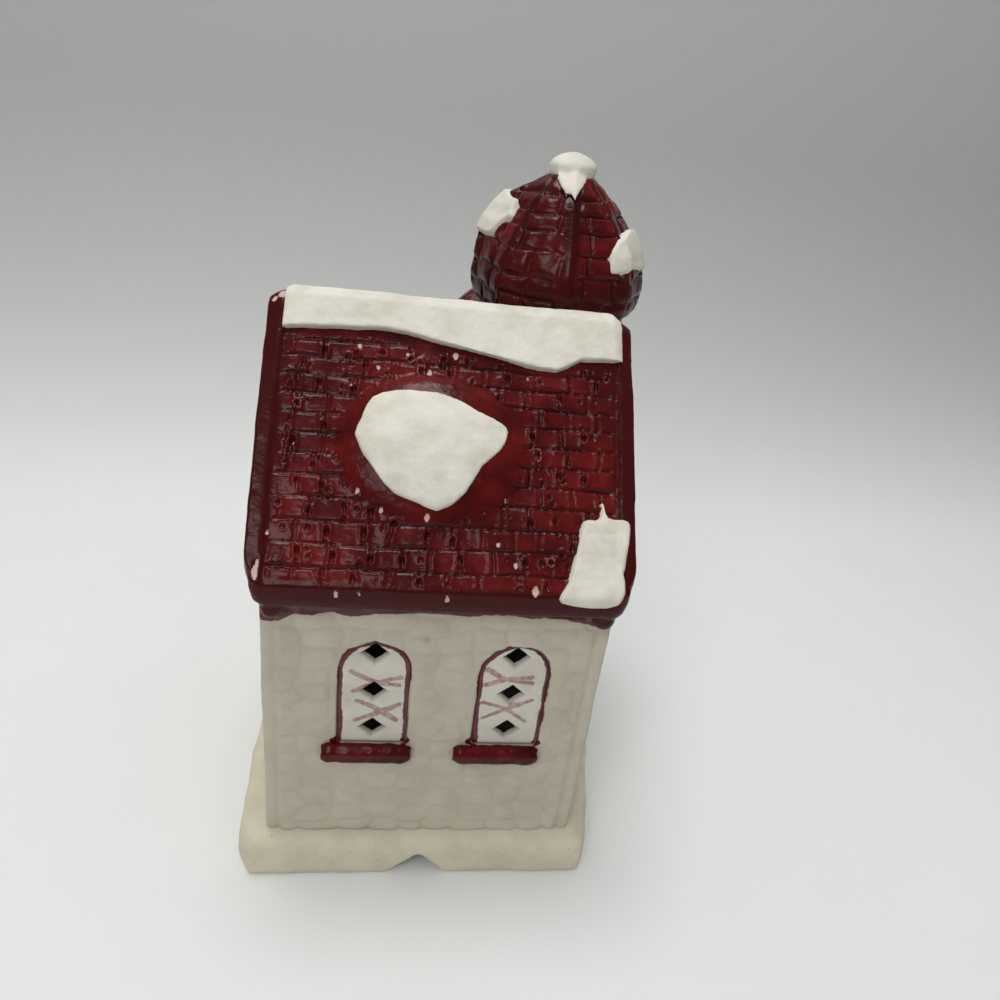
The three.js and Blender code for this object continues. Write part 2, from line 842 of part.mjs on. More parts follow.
function cornerSnow() {
  const low = bargeRise + lutingGap;
  return slopeColumn(sized(cornerSnowShares, roofHalfWidth, slopeLength), low, low + snowThickness);
}

function gableSnow() {
  const low = (x) => gableTop(x) + bargeRise + lutingGap;
  const [left, right] = [-halfWidth, 0];
  const slab = solid(prismDeep([
    [left, low(left)],
    [right, low(right)],
    [right, low(right) + snowThickness],
    [left, low(left) + snowThickness],
  ], 0, roofHalfRun));
  const column = solid(prismUp(softOutline(sized(gableSnowShares, halfWidth, roofHalfRun)), 0, topOfAll));
  const clearOfMain = solid(prismAcross([
    [0, baseHeight],
    [roofHalfRun, baseHeight],
    ...mirrored([onSlope(slopeLength, lutingGap), onSlope(0, lutingGap)]),
  ], left, right));
  return cut(slab.intersect(column), clearOfMain);
}

// Tower

// Shares of the cap's height, of its radius all round, and of its radius for how far the shoulder stands out
const capShares = [
  [0, 0.866, 0], [0.056, 0.945, 0], [0.143, 0.985, 0], [0.231, 1, 0], [0.371, 0.965, 0.01],
  [0.51, 0.885, 0.075], [0.633, 0.775, 0.12], [0.738, 0.65, 0.15], [0.843, 0.517, 0.14],
  [0.937, 0.36, 0.04], [1, 0.27, 0],
];
const capProfile = capShares.map(([up, out, shoulder]) => ({
  z: THREE.MathUtils.lerp(capBottom, capTop, up),
  radius: out * capRadius,
  shoulder: shoulder * capRadius,
}));

// Shares of the knob's radius and height
const knobShares = [
  [0.76, 0], [0.92, 0.16], [1, 0.38], [0.95, 0.6], [0.8, 0.78], [0.56, 0.91], [0.3, 0.98], [0, 1],
];

// Corners of the knob's drip: shares of its half width, of its reach back and of its fall
const dripShares = [
  [-1, 0, 0], [1, 0, 0], [0, 0, -0.5], [-1, 0.4, 0.1], [1, 0.4, 0.1], [0, 0.45, -0.3], [0, 0.8, 1], [0, 1, 1],
];

function towerShaft() {
  const outer = solid(prismUp(octagon(towerRadius), baseHeight, capBottom));
  const bore = solid(prismUp(octagon(towerRadius - towerShell), 0, capBottom + cutPast));
  const side = halfWidth - wallThickness + lutingGap;
  const front = halfDepth - wallThickness + lutingGap;
  const room = solid(box(-side, side, -front, front, 0, wallTop - towerLintelDrop));
  return cut(outer, bore, room, ...Object.values(towerPanes).map(windowOpening));
}

// The cap grown by an offset, which also lifts it towards the top
function capBody(offset, low = capBottom) {
  return solid(stacked(capProfile.map(({ z, radius, shoulder }, i) => ({
    z: i === 0 ? low : z + (offset / 2) * (i / capProfile.length),
    points: octagon(radius + offset, shoulder),
  }))));
}

// Room for the cap where the roof and its snow reach under it
function roomUnderCap() {
  return capBody(lutingGap, capBottom - lutingGap);
}

function towerCap() {
  const hollow = solid(stacked(capProfile.slice(0, -1).map(({ z, radius, shoulder }, i) => ({
    z: i === 0 ? z - cutPast : z - capShell * 0.4,
    points: octagon(i === 0 ? towerRadius - towerShell : radius - capShell, shoulder),
  }))));
  return cut(capBody(0), hollow);
}

// Snow on the side of the cap that looks along a direction
function capSnow(direction, thickness, edge) {
  const low = THREE.MathUtils.lerp(capBottom, capTop, 0.1);
  const blanket = cut(capBody(lutingGap + thickness, low), capBody(lutingGap));
  const reach = prismDeep(sized(edge, capRadius, capTop - capBottom, 0, capBottom), -2 * capRadius, 0);
  return blanket.intersect(solid(reach).rotate([0, 0, direction]).translate([towerX, towerY, 0]));
}

// Dome on top of the cap, with a drip down the cap's edge that looks back
function snowKnob() {
  const base = capTop + lutingGap;
  const profile = [[0, 0], ...knobShares].map(([out, up]) => [out * knobRadius, base + up * knobHeight]);
  const dome = solid(turned(profile, glassSides));
  const drip = wasm.Manifold.hull(dripShares.map(([across, back, down]) => (
    [across * dripHalfWidth, -back * dripReach, base - down * dripFall]
  ))).rotate([0, 0, towerTurn]);
  const placed = join(dome, drip).translate([towerX, towerY, 0]);
  return cut(placed, capBody(lutingGap));
}

// Entrance

function frontDoor() {
  const leaf = archOutline(0, baseHeight + lutingGap, doorWidth, doorHeight - lutingGap);
  return atWall(solid(prismDeep(leaf, doorRecess, doorRecess + doorThickness)), doorPlace);
}

function doorKnob() {
  const x = doorWidth / 2 - knobBallInset;
  const y = doorRecess - knobBallRadius - lutingGap;
  const ball = new THREE.SphereGeometry(knobBallRadius, 10, 8).translate(x, y, baseHeight + knobBallUp);
  return atWall(solid(ball), doorPlace);
}

function doorHood() {
  const innerWidth = doorWidth + 2 * hoodSideClear;
  const outerWidth = innerWidth + 2 * hoodThickness;
  const halfUp = doorHeight / 2;
  const outer = archOutline(0, baseHeight + halfUp, outerWidth, halfUp + hoodThickness);
  const inner = archOutline(0, baseHeight, innerWidth, doorHeight + hoodTopClear);
  const arch = solid(prismDeep(outer, -hoodReach, -lutingGap));
  return atWall(cut(arch, solid(prismDeep(inner, -hoodReach - cutPast, 0))), doorPlace);
}

function doorStep() {
  const front = halfDepth + lutingGap + stepDepth;
  return solid(box(doorX - stepWidth / 2, doorX + stepWidth / 2, halfDepth + lutingGap, front,
    baseHeight, baseHeight + stepHeight));
}

// Lamp stand

const lampX = notchX + houseShiftX;
const lampY = houseShiftY;

function standShellBody() {
  const inner = standRadius - standShell;
  const low = standClearHeight;
  const ceiling = standHeight - standShell;
  const dome = solid(turned([
    [holderBore, ceiling],
    [inner - standInnerRound, ceiling],
    [inner, ceiling - standInnerRound],
    [inner, low],
    [standRadius, low],
    [standRadius, standHeight - standRound],
    [standRadius - standRound, standHeight],
    [holderBore, standHeight],
    [holderBore, ceiling],
  ], standSides));
  const level = low + glandClear + glandBore + glandWall;
  const spoutEnd = standRadius + glandReach;
  const spoutInner = inner - standShell;
  const spout = glandTube(glandBore + glandWall, spoutEnd, spoutInner, level);
  const leadBore = glandTube(glandBore, spoutEnd + cutPast, spoutInner - cutPast, level);
  const plateTop = low + platePanel + lutingGap;
  const plateRoom = disc(inner - runningGap / 2, -cutPast, plateTop, standSides);
  const bosses = atScrews(disc(screwRadius + screwBossWall, plateTop, ceiling + standShell / 2));
  const bores = atScrews(disc(screwRadius, 0, screwSeat + screwLength + lutingGap));
  return cut(join(dome, cut(spout, plateRoom), ...bosses), leadBore, ...bores);
}

// Disc or round bar about Z, between two heights
function disc(radius, low, high, sides = smallSides) {
  return solid(turned([[0, low], [radius, low], [radius, high], [0, high]], sides));
}

// Round bar along Y behind the lamp's axis, between two distances from it
function glandTube(radius, far, near, level) {
  const tube = new THREE.CylinderGeometry(radius, radius, far - near, smallSides);
  return solid(tube.translate(0, -(far + near) / 2, level));
}

// Height at which a cover screw's head meets the plate
const screwSeat = standClearHeight - lutingGap / 2;

// One copy of a body at each cover screw
function atScrews(body) {
  return [35, 145, 270].map((angle) => atAngle(body, screwRingRadius, angle));
}

function atAngle(body, reach, angle) {
  const turn = THREE.MathUtils.degToRad(angle);
  return body.translate([reach * Math.cos(turn), reach * Math.sin(turn), 0]);
}

function basePlate() {
  const edge = standRadius - standShell - runningGap;
  const plate = disc(edge, standClearHeight, standClearHeight + platePanel, standSides);
  return cut(plate, ...atScrews(disc(screwRadius + screwHoleClear, 0, standHeight)));
}

function coverScrew() {
  const shank = screwRadius - lutingGap / 2;
  return solid(turned([
    [0, screwSeat - screwHeadHeight],
    [screwHeadRadius, screwSeat - screwHeadHeight],
    [screwHeadRadius, screwSeat],
    [shank, screwSeat],
    [shank, screwSeat + screwLength - screwPoint],
    [0, screwSeat + screwLength],
  ], smallSides));
}

function footPad(angle) {
  return atAngle(disc(padRadius, 0, standClearHeight), padRingRadius, angle);
}

// Lamp holder

const holderBottom = standHeight - holderSpigot;
const holderTop = holderBottom + holderHeight;
const shellTop = holderTop - shellDrop;
const shellBottom = shellTop - shellHeight;
const bulbCapTop = shellTop + capStandUp;
const bulbCapBottom = bulbCapTop - capHeight;
const glassBase = bulbCapTop - glassSeat;
const stemTop = glassBase + stemHeight;
const contactLevel = holderBottom + holderFloor;

// Rings of the thread between two heights, in step with the rings of the screw shell
function threadProfile(radius, low, high) {
  const points = [];
  const first = shellBottom + Math.ceil((low - shellBottom) / threadPitch - 1e-6) * threadPitch;
  for (let z = first; z + threadPitch <= high + 1e-6; z += threadPitch) {
    points.push([radius - threadDepth, z + threadPitch * 0.1]);
    points.push([radius, z + threadPitch * 0.5]);
    points.push([radius - threadDepth, z + threadPitch * 0.9]);
  }
  return points;
}

function lampHolder() {
  const bore = threadRadius + shellWall + runningGap;
  const spigot = holderBore - lutingGap;
  const seat = standHeight + lutingGap;
  const ledge = shellBottom - shellWall;
  return solid(turned([
    [rivetRadius + rivetClear, holderBottom],
    [spigot, holderBottom],
    [spigot, seat],
    [holderRadius, seat],
    [holderRadius, holderTop - holderRound],
    [holderRadius - holderRound, holderTop],
    [bore, holderTop],
    [bore, ledge],
    [bore - holderLedge, ledge],
    [bore - holderLedge, contactLevel],
    [rivetRadius + rivetClear, contactLevel],
    [rivetRadius + rivetClear, holderBottom],
  ]));
}

function screwShell() {
  const outside = threadRadius + shellWall;
  return solid(turned([
    [outside, shellBottom],
    ...threadProfile(outside, shellBottom, shellTop),
    [outside, shellTop],
    [threadRadius, shellTop],
    ...threadProfile(threadRadius, shellBottom, shellTop).reverse(),
    [threadRadius - threadDepth, shellBottom],
    [outside, shellBottom],
  ], threadSides));
}

// Strip that lies on the holder's floor and springs up under the bulb's tip
function centreContact() {
  const low = contactLevel + lutingGap;
  const top = low + contactThickness;
  const high = low + contactRise;
  const strip = solid(prismDeep([
    [-contactWidth, low],
    [2, low],
    [2, top],
    [-contactWidth + 0.8, top],
    [0.4, high - contactThickness],
    [contactReach, high - contactThickness],
    [contactReach, high],
    [0, high],
    [-contactWidth, top],
  ], -contactWidth / 2, contactWidth / 2));
  return cut(strip, disc(rivetRadius + rivetClear, low - cutPast, top + shellWall));
}

function contactRivet() {
  const head = holderBottom - lutingGap / 2;
  return join(
    disc(rivetRadius + rivetHead, holderBottom - insulatorDrop, head),
    disc(rivetRadius, holderBottom - insulatorDrop, contactLevel + lutingGap + contactThickness),
  );
}

// Bulb

function bulbCap() {
  const outside = threadRadius - runningGap;
  const neck = outside - threadDepth;
  const [low, high] = [bulbCapBottom + capPlain, bulbCapTop - capPlain + holderRound];
  return solid(turned([
    [capMouth, bulbCapBottom],
    [neck, bulbCapBottom + capStandUp],
    ...threadProfile(outside, low, high),
    [neck, bulbCapTop],
    [neck - capWall, bulbCapTop],
    ...threadProfile(outside - capWall, low, high).reverse(),
    [neck - capWall, low - 0.1],
    [capMouth, bulbCapBottom + contactThickness],
    [capMouth, bulbCapBottom],
  ], threadSides));
}

function bulbInsulator() {
  const top = bulbCapBottom + shellDrop;
  return solid(turned([
    [0, bulbCapBottom - insulatorDrop],
    [insulatorRadius - shellDrop, bulbCapBottom - insulatorDrop],
    [insulatorRadius, bulbCapBottom],
    [insulatorRadius, top],
    [0, top],
  ], smallSides));
}

function bulbTip() {
  const low = contactLevel + contactRise + 2 * lutingGap;
  const high = bulbCapBottom - insulatorDrop - lutingGap / 2;
  return solid(turned([[0, low], [tipRadius - 0.3, low + 0.3], [tipRadius, high], [0, high]], smallSides));
}

// Shares of the glass's radius and height, from its shoulder to its point
const flameShares = [
  [0.909, 0.286], [1, 0.405], [0.936, 0.548], [0.727, 0.714], [0.436, 0.867], [0.182, 0.967],
];

function bulbGlass() {
  const neck = glassNeck - capWall - lutingGap;
  const outerLine = [
    [neck, glassBase],
    [neck, bulbCapTop + contactThickness],
    [neck + capStandUp, bulbCapTop + glassSeat],
    ...flameShares.map(([out, up]) => [out * glassRadius, glassBase + up * glassHeight]),
  ];
  const innerLine = outerLine.map(([radius, z]) => [radius - glassWall, z]).reverse();
  const top = glassBase + glassHeight;
  const point = [[0, top], [0, top - glassWall * 2]];
  return solid(turned([...outerLine, ...point, ...innerLine, outerLine[0]], glassSides));
}

function bulbStem() {
  const foot = glassBase + stemFoot;
  return solid(turned([
    [0, foot],
    [stemRadius, foot],
    [stemRadius, glassBase + glassSeat],
    [stemRadius / 2, glassBase + glassSeat + stemRadius],
    [stemRadius / 2, stemTop],
    [0, stemTop],
  ], smallSides));
}

function leadWire(side) {
  const low = stemTop + lutingGap;
  return disc(leadRadius, low, low + leadLength, wireSides).translate([side * leadSpread, 0, 0]);
}

function filament() {
  const level = stemTop + 2 * lutingGap + leadLength + filamentRadius;
  const coil = new THREE.CylinderGeometry(filamentRadius, filamentRadius, filamentLength, wireSides);
  return solid(coil.rotateZ(Math.PI / 2).translate(0, 0, level));
}

// Assembly

const leftCapSnow = capSnow(leftCapSnowTurn, leftCapSnowThickness, leftCapSnowShares);
const rightCapSnow = capSnow(rightCapSnowTurn, rightCapSnowThickness, rightCapSnowShares);

const house = new THREE.Group();
house.position.set(houseShiftX, houseShiftY, 0);
house.add(
  piece('base_plinth', basePlinth(), baseClay),
  piece('house_walls', houseWalls(), bisque),
  piece('main_roof', mainRoof(), redGlaze),
  piece('ridge_snow', ridgeSnow(), snowClay),
  piece('roof_mound_snow', moundSnow(), snowClay),
  piece('eave_corner_snow', cornerSnow(), snowClay),
  piece('front_gable_snow', gableSnow(), snowClay),
  piece('tower_shaft', towerShaft(), bisque),
  piece('tower_cap', towerCap(), redGlaze),
  piece('tower_cap_snow_left', leftCapSnow, snowClay),
  piece('tower_cap_snow_right', rightCapSnow, snowClay),
  piece('tower_snow_knob', snowKnob(), snowClay),
  piece('front_gable_pane', pane(gablePane), whiteClay),
  piece('front_gable_sill', sill(gablePane), redGlaze),
  piece('front_door', frontDoor(), redGlaze),
  piece('door_knob', doorKnob(), brass),
  piece('door_hood', doorHood(), snowClay),
  piece('door_step', doorStep(), baseClay),
);
for (const [name, place] of Object.entries(panePlaces)) {
  house.add(piece(`${name}_pane`, pane(place), whiteClay));
  house.add(piece(`${name}_sill`, sill(place), redGlaze));
}
for (const [name, place] of Object.entries(towerPanes)) {
  house.add(piece(`tower_${name}_pane`, pane(place), whiteClay));
  const ledge = sill(place, towerSillWidth, towerSillHeight, towerSillReach);
  house.add(piece(`tower_${name}_sill`, ledge, redGlaze));
}

const bulb = new THREE.Group();
bulb.add(
  piece('bulb_cap', bulbCap(), brass),
  piece('bulb_insulator', bulbInsulator(), blackGlass),
  piece('bulb_tip', bulbTip(), steel),
  piece('bulb_glass', bulbGlass(), clearGlass),
  piece('bulb_stem', bulbStem(), clearGlass),
  piece('lead_wire_left', leadWire(-1), steel),
  piece('lead_wire_right', leadWire(1), steel),
  piece('filament', filament(), tungsten),
);

const lamp = new THREE.Group();
lamp.position.set(lampX, lampY, 0);
lamp.add(
  piece('lamp_stand', standShellBody(), palePlastic),
  piece('stand_plate', basePlate(), palePlastic),
  piece('lamp_holder', lampHolder(), palePlastic),
  piece('screw_shell', screwShell(), brass),
  piece('centre_contact', centreContact(), brass),
  piece('contact_rivet', contactRivet(), brass),
  bulb,
);
atScrews(coverScrew()).forEach((screw, i) => {
  lamp.add(piece(`cover_screw_${i + 1}`, screw, steel));
});
for (let i = 0; i < padCount; i += 1) {
  lamp.add(piece(`foot_pad_${i + 1}`, footPad(90 + (360 / padCount) * i), rubber));
}

const villageHouse = new THREE.Group();
villageHouse.add(lamp, house);

export default villageHouse;
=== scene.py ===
import json
import math

import bmesh
import bpy
import numpy as np
from mathutils import Matrix, Vector

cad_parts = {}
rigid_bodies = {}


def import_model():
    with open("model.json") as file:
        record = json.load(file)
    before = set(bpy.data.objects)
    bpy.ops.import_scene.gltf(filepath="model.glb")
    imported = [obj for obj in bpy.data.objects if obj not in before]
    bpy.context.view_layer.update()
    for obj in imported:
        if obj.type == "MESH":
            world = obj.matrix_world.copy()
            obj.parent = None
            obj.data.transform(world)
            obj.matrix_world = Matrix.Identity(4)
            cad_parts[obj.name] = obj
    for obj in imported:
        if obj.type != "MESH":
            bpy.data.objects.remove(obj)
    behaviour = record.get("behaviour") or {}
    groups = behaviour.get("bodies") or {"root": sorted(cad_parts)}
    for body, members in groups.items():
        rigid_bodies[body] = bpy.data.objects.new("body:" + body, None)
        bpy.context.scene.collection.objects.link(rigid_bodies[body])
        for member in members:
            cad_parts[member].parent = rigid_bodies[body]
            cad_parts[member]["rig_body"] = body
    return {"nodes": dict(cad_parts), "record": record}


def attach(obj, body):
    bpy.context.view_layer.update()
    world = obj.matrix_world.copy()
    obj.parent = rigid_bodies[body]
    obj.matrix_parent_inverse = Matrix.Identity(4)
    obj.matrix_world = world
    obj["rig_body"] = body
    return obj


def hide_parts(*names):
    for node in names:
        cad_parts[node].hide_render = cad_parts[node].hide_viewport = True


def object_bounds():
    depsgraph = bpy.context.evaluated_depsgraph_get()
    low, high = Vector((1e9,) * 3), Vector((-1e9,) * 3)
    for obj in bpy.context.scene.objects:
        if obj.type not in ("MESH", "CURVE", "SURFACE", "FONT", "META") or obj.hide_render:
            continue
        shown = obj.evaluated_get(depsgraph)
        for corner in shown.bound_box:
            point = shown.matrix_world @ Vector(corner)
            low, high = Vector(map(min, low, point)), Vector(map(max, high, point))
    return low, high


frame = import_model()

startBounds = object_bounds()
print("frame loaded", [round(v * 1000, 2) for corner in startBounds for v in corner])

# Lengths are millimetres unless they go straight to Blender
mm = 0.001

# Middle of the walls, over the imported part's origin
houseMiddle = np.array([-1.5, -3.0, 0.0])

scene = bpy.context.scene
scene.view_settings.view_transform = "Standard"


# The camera, as fitted to the photograph

camera = {
    "place": (-11.18454, -153.6653, 150.87392),
    "turn": 0.15435,
    "dip": 0.46487,
    "roll": 0.12937,
    "lens": 27.036,
}


def addCamera():
    turn, dip, roll = camera["turn"], camera["dip"], camera["roll"]
    ahead = Vector((math.sin(turn) * math.cos(dip), math.cos(turn) * math.cos(dip), -math.sin(dip)))
    level = Vector((math.cos(turn), -math.sin(turn), 0))
    above = level.cross(ahead)
    right = level * math.cos(roll) + above * math.sin(roll)
    up = above * math.cos(roll) - level * math.sin(roll)
    data = bpy.data.cameras.new("camera")
    data.lens = camera["lens"]
    data.sensor_width = 36
    data.clip_start = 0.01
    data.dof.use_dof = False
    seen = bpy.data.objects.new("camera", data)
    scene.collection.objects.link(seen)
    facing = Matrix((right, up, -ahead)).transposed().to_4x4()
    seen.matrix_world = Matrix.Translation(Vector(camera["place"]) * mm) @ facing
    scene.camera = seen


addCamera()
print("camera placed")


# Materials

class Wire:
    # A socket that does arithmetic: whatever it meets becomes a Math node
    def __init__(self, finish, socket):
        self.finish, self.socket = finish, socket

    def math(self, operation, *values):
        node = self.finish.tree.nodes.new("ShaderNodeMath")
        node.operation = operation
        for i, value in enumerate(values):
            self.finish.feed(node.inputs[i], value)
        return Wire(self.finish, node.outputs[0])

    def __add__(self, other):
        return self.math("ADD", self, other)

    def __sub__(self, other):
        return self.math("SUBTRACT", self, other)

    def __rsub__(self, other):
        return self.math("SUBTRACT", other, self)

    def __mul__(self, other):
        return self.math("MULTIPLY", self, other)

    def least(self, other):
        return self.math("MINIMUM", self, other)

    # 0 below low, 1 above high, with a soft step between
    def step(self, low, high):
        node = self.finish.tree.nodes.new("ShaderNodeMapRange")
        node.interpolation_type = "SMOOTHSTEP"
        for name, value in {"Value": self, "From Min": low, "From Max": high}.items():
            self.finish.feed(node.inputs[name], value)
        return Wire(self.finish, node.outputs["Result"])


class Finish:
    def __init__(self, name):
        self.material = bpy.data.materials.new(name)
        self.material.use_nodes = True
        self.tree = self.material.node_tree
        self.shader = self.tree.nodes["Principled BSDF"]
        self.place = self.node("ShaderNodeTexCoord", out="Object")

    def feed(self, socket, value):
        if isinstance(value, Wire):
            self.tree.links.new(value.socket, socket)
        elif isinstance(value, (tuple, list)) and len(value) == 3 and socket.type == "RGBA":
            socket.default_value = (*value, 1)
        else:
            socket.default_value = value

    # Any node: its type, settings first, then values or wires by socket name
    def node(self, kind, settings=None, out=0, **values):
        node = self.tree.nodes.new(kind)
        for name, value in (settings or {}).items():
            setattr(node, name, value)
        for name, value in values.items():
            self.feed(node.inputs[name.replace("_", " ")], value)
        return Wire(self, node.outputs[out])

    def noise(self, size, detail, distortion=0):
        return self.node("ShaderNodeTexNoise", Vector=self.place, Scale=1 / (size * mm),
                         Detail=detail, Roughness=0.55, Distortion=distortion)

    def cells(self, size):
        return self.node("ShaderNodeTexVoronoi", out="Distance", Vector=self.place, Scale=1 / (size * mm))

    def marked(self, name):
        return self.node("ShaderNodeAttribute", {"attribute_name": name}, "Fac")

    # From one colour to another
    def blend(self, share, first, second):
        node = self.tree.nodes.new("ShaderNodeMix")
        node.data_type = "RGBA"
        for socket, value in zip([node.inputs[0], node.inputs[6], node.inputs[7]], [share, first, second]):
            self.feed(socket, value)
        return Wire(self, node.outputs[2])

    def bump(self, height, depth, over=None):
        node = self.tree.nodes.new("ShaderNodeBump")
        self.feed(node.inputs["Height"], height)
        node.inputs["Distance"].default_value = depth * mm
        if over:
            self.feed(node.inputs["Normal"], over)
        return Wire(self, node.outputs[0])

    def shade(self, **values):
        for name, value in values.items():
            self.feed(self.shader.inputs[name.replace("_", " ")], value)
        return self.material


def tone(red, green, blue):
    # A colour as it is seen in the picture, 0 to 255 a channel
    channels = (value / 255 for value in (red, green, blue))
    return tuple(c / 12.92 if c <= 0.04045 else ((c + 0.055) / 1.055) ** 2.4 for c in channels)


# Relief

def softNoise(points, size, seed=1):
    # Smooth noise from -1 to 1 on a jittered lattice
    grid = points / size + seed * 17.31
    low = np.floor(grid).astype(np.int64)
    part = grid - low
    part = part * part * (3 - 2 * part)
    total = np.zeros(len(points))
    primes = np.array([73856093, 19349663, 83492791])[: points.shape[1]]
    for corner in np.ndindex(*(2,) * points.shape[1]):
        key = ((low + corner) * primes).sum(1) + seed * 9176
        key = ((key ^ (key >> 13)) * 1274126177) & 0x7FFFFFFF
        key = ((key ^ (key >> 15)) * 1103515245) & 0x7FFFFFFF
        total += (key / 0x3FFFFFFF - 1) * np.where(corner, part, 1 - part).prod(1)
    return total


def smooth(low, high, value):
    share = np.clip((value - low) / (high - low), 0, 1)
    return share * share * (3 - 2 * share)


def lump(distance, width):
    return np.exp(-(distance / width) ** 2)


def ripples(points, layers):
    # Layers of soft noise, each with its height, size and seed
    return sum(height * softNoise(points, size, seed) for height, size, seed in layers)


def alongLine(values, line):
    # Height of a line of points over each value
    line = np.array(line)
    return np.interp(values, line[:, 0], line[:, 1])


def lineDistance(points, line, closed=False):
    # Distance from flat points to a line of points
    line = np.array(line, float)
    ends = np.roll(line, -1, 0) if closed else line[1:]
    best = np.full(len(points), 1e9)
    for a, b in zip(line, ends):
        along = b - a
        share = np.clip((points - a) @ along / max(along @ along, 1e-9), 0, 1)
        best = np.minimum(best, np.linalg.norm(points - a - share[:, None] * along, axis=1))
    return best


def curved(points, steps=5, closed=False):
    # Points of a smooth line through the given ones
    line = np.array(points, float)
    padded = np.vstack([line[-1:], line, line[:2]]) if closed else np.vstack([line[:1], line, line[-1:]])
    found = []
    for i in range(len(padded) - 3):
        a, b, c, d = padded[i:i + 4]
        for t in np.arange(steps) / steps:
            bend = (2 * a - 5 * b + 4 * c - d) * t ** 2 + (3 * b - a - 3 * c + d) * t ** 3
            found.append(0.5 * (2 * b + (c - a) * t + bend))
    return np.array(found if closed else found + [line[-1]])


roof = {
    "halfRun": 40.4,
    "eave": 75.5,
    "ridge": 118.1,
    "gableRidge": (8, 114.4),
    "gableLeft": 75.7,
    "wall": 33.3,
    "thick": 5.1,
}
pitch = math.atan2(roof["ridge"] - roof["eave"], roof["halfRun"])
gablePitch = math.atan2(roof["gableRidge"][1] - roof["gableLeft"], roof["wall"] + roof["gableRidge"][0])
run, rise = math.cos(pitch), math.sin(pitch)
gableRun, gableRise = math.cos(gablePitch), math.sin(gablePitch)
gableFoot = roof["wall"] + 2 * roof["gableRidge"][0]
slopeOut = np.array([0, -rise, run])
gableOut = np.array([-gableRise, 0, gableRun])

# Each slope of the roof: where it starts, and which way is across and up
slopes = {
    "back": ((0, -roof["halfRun"], roof["eave"]), (1, 0, 0), (0, run, rise)),
    "front": ((0, roof["halfRun"], roof["eave"]), (-1, 0, 0), (0, -run, rise)),
    "gableLeft": ((-roof["wall"], 0, roof["gableLeft"]), (0, -1, 0), (gableRun, 0, gableRise)),
    "gableRight": ((gableFoot, 0, roof["gableLeft"]), (0, 1, 0), (-gableRun, 0, gableRise)),
}


def onSlope(points, normals, name):
    # Across and up a slope, height off it, and how squarely the skin faces out of it
    start, across, up = (np.array(v, float) for v in slopes[name])
    out = np.cross(across, up)
    away = points - start
    return away @ across, away @ up, away @ out, normals @ out


bricks = {
    "courseStart": 3.8,
    "coursePitch": 4.37,
    "courseTaper": 0.033,
    "courseCount": 13,
    "length": 5.6,
    "groove": 0.34,
    "grooveWidth": 0.27,
    "joint": 0.2,
    "pitted": 0.62,
    "seed": 5,
}


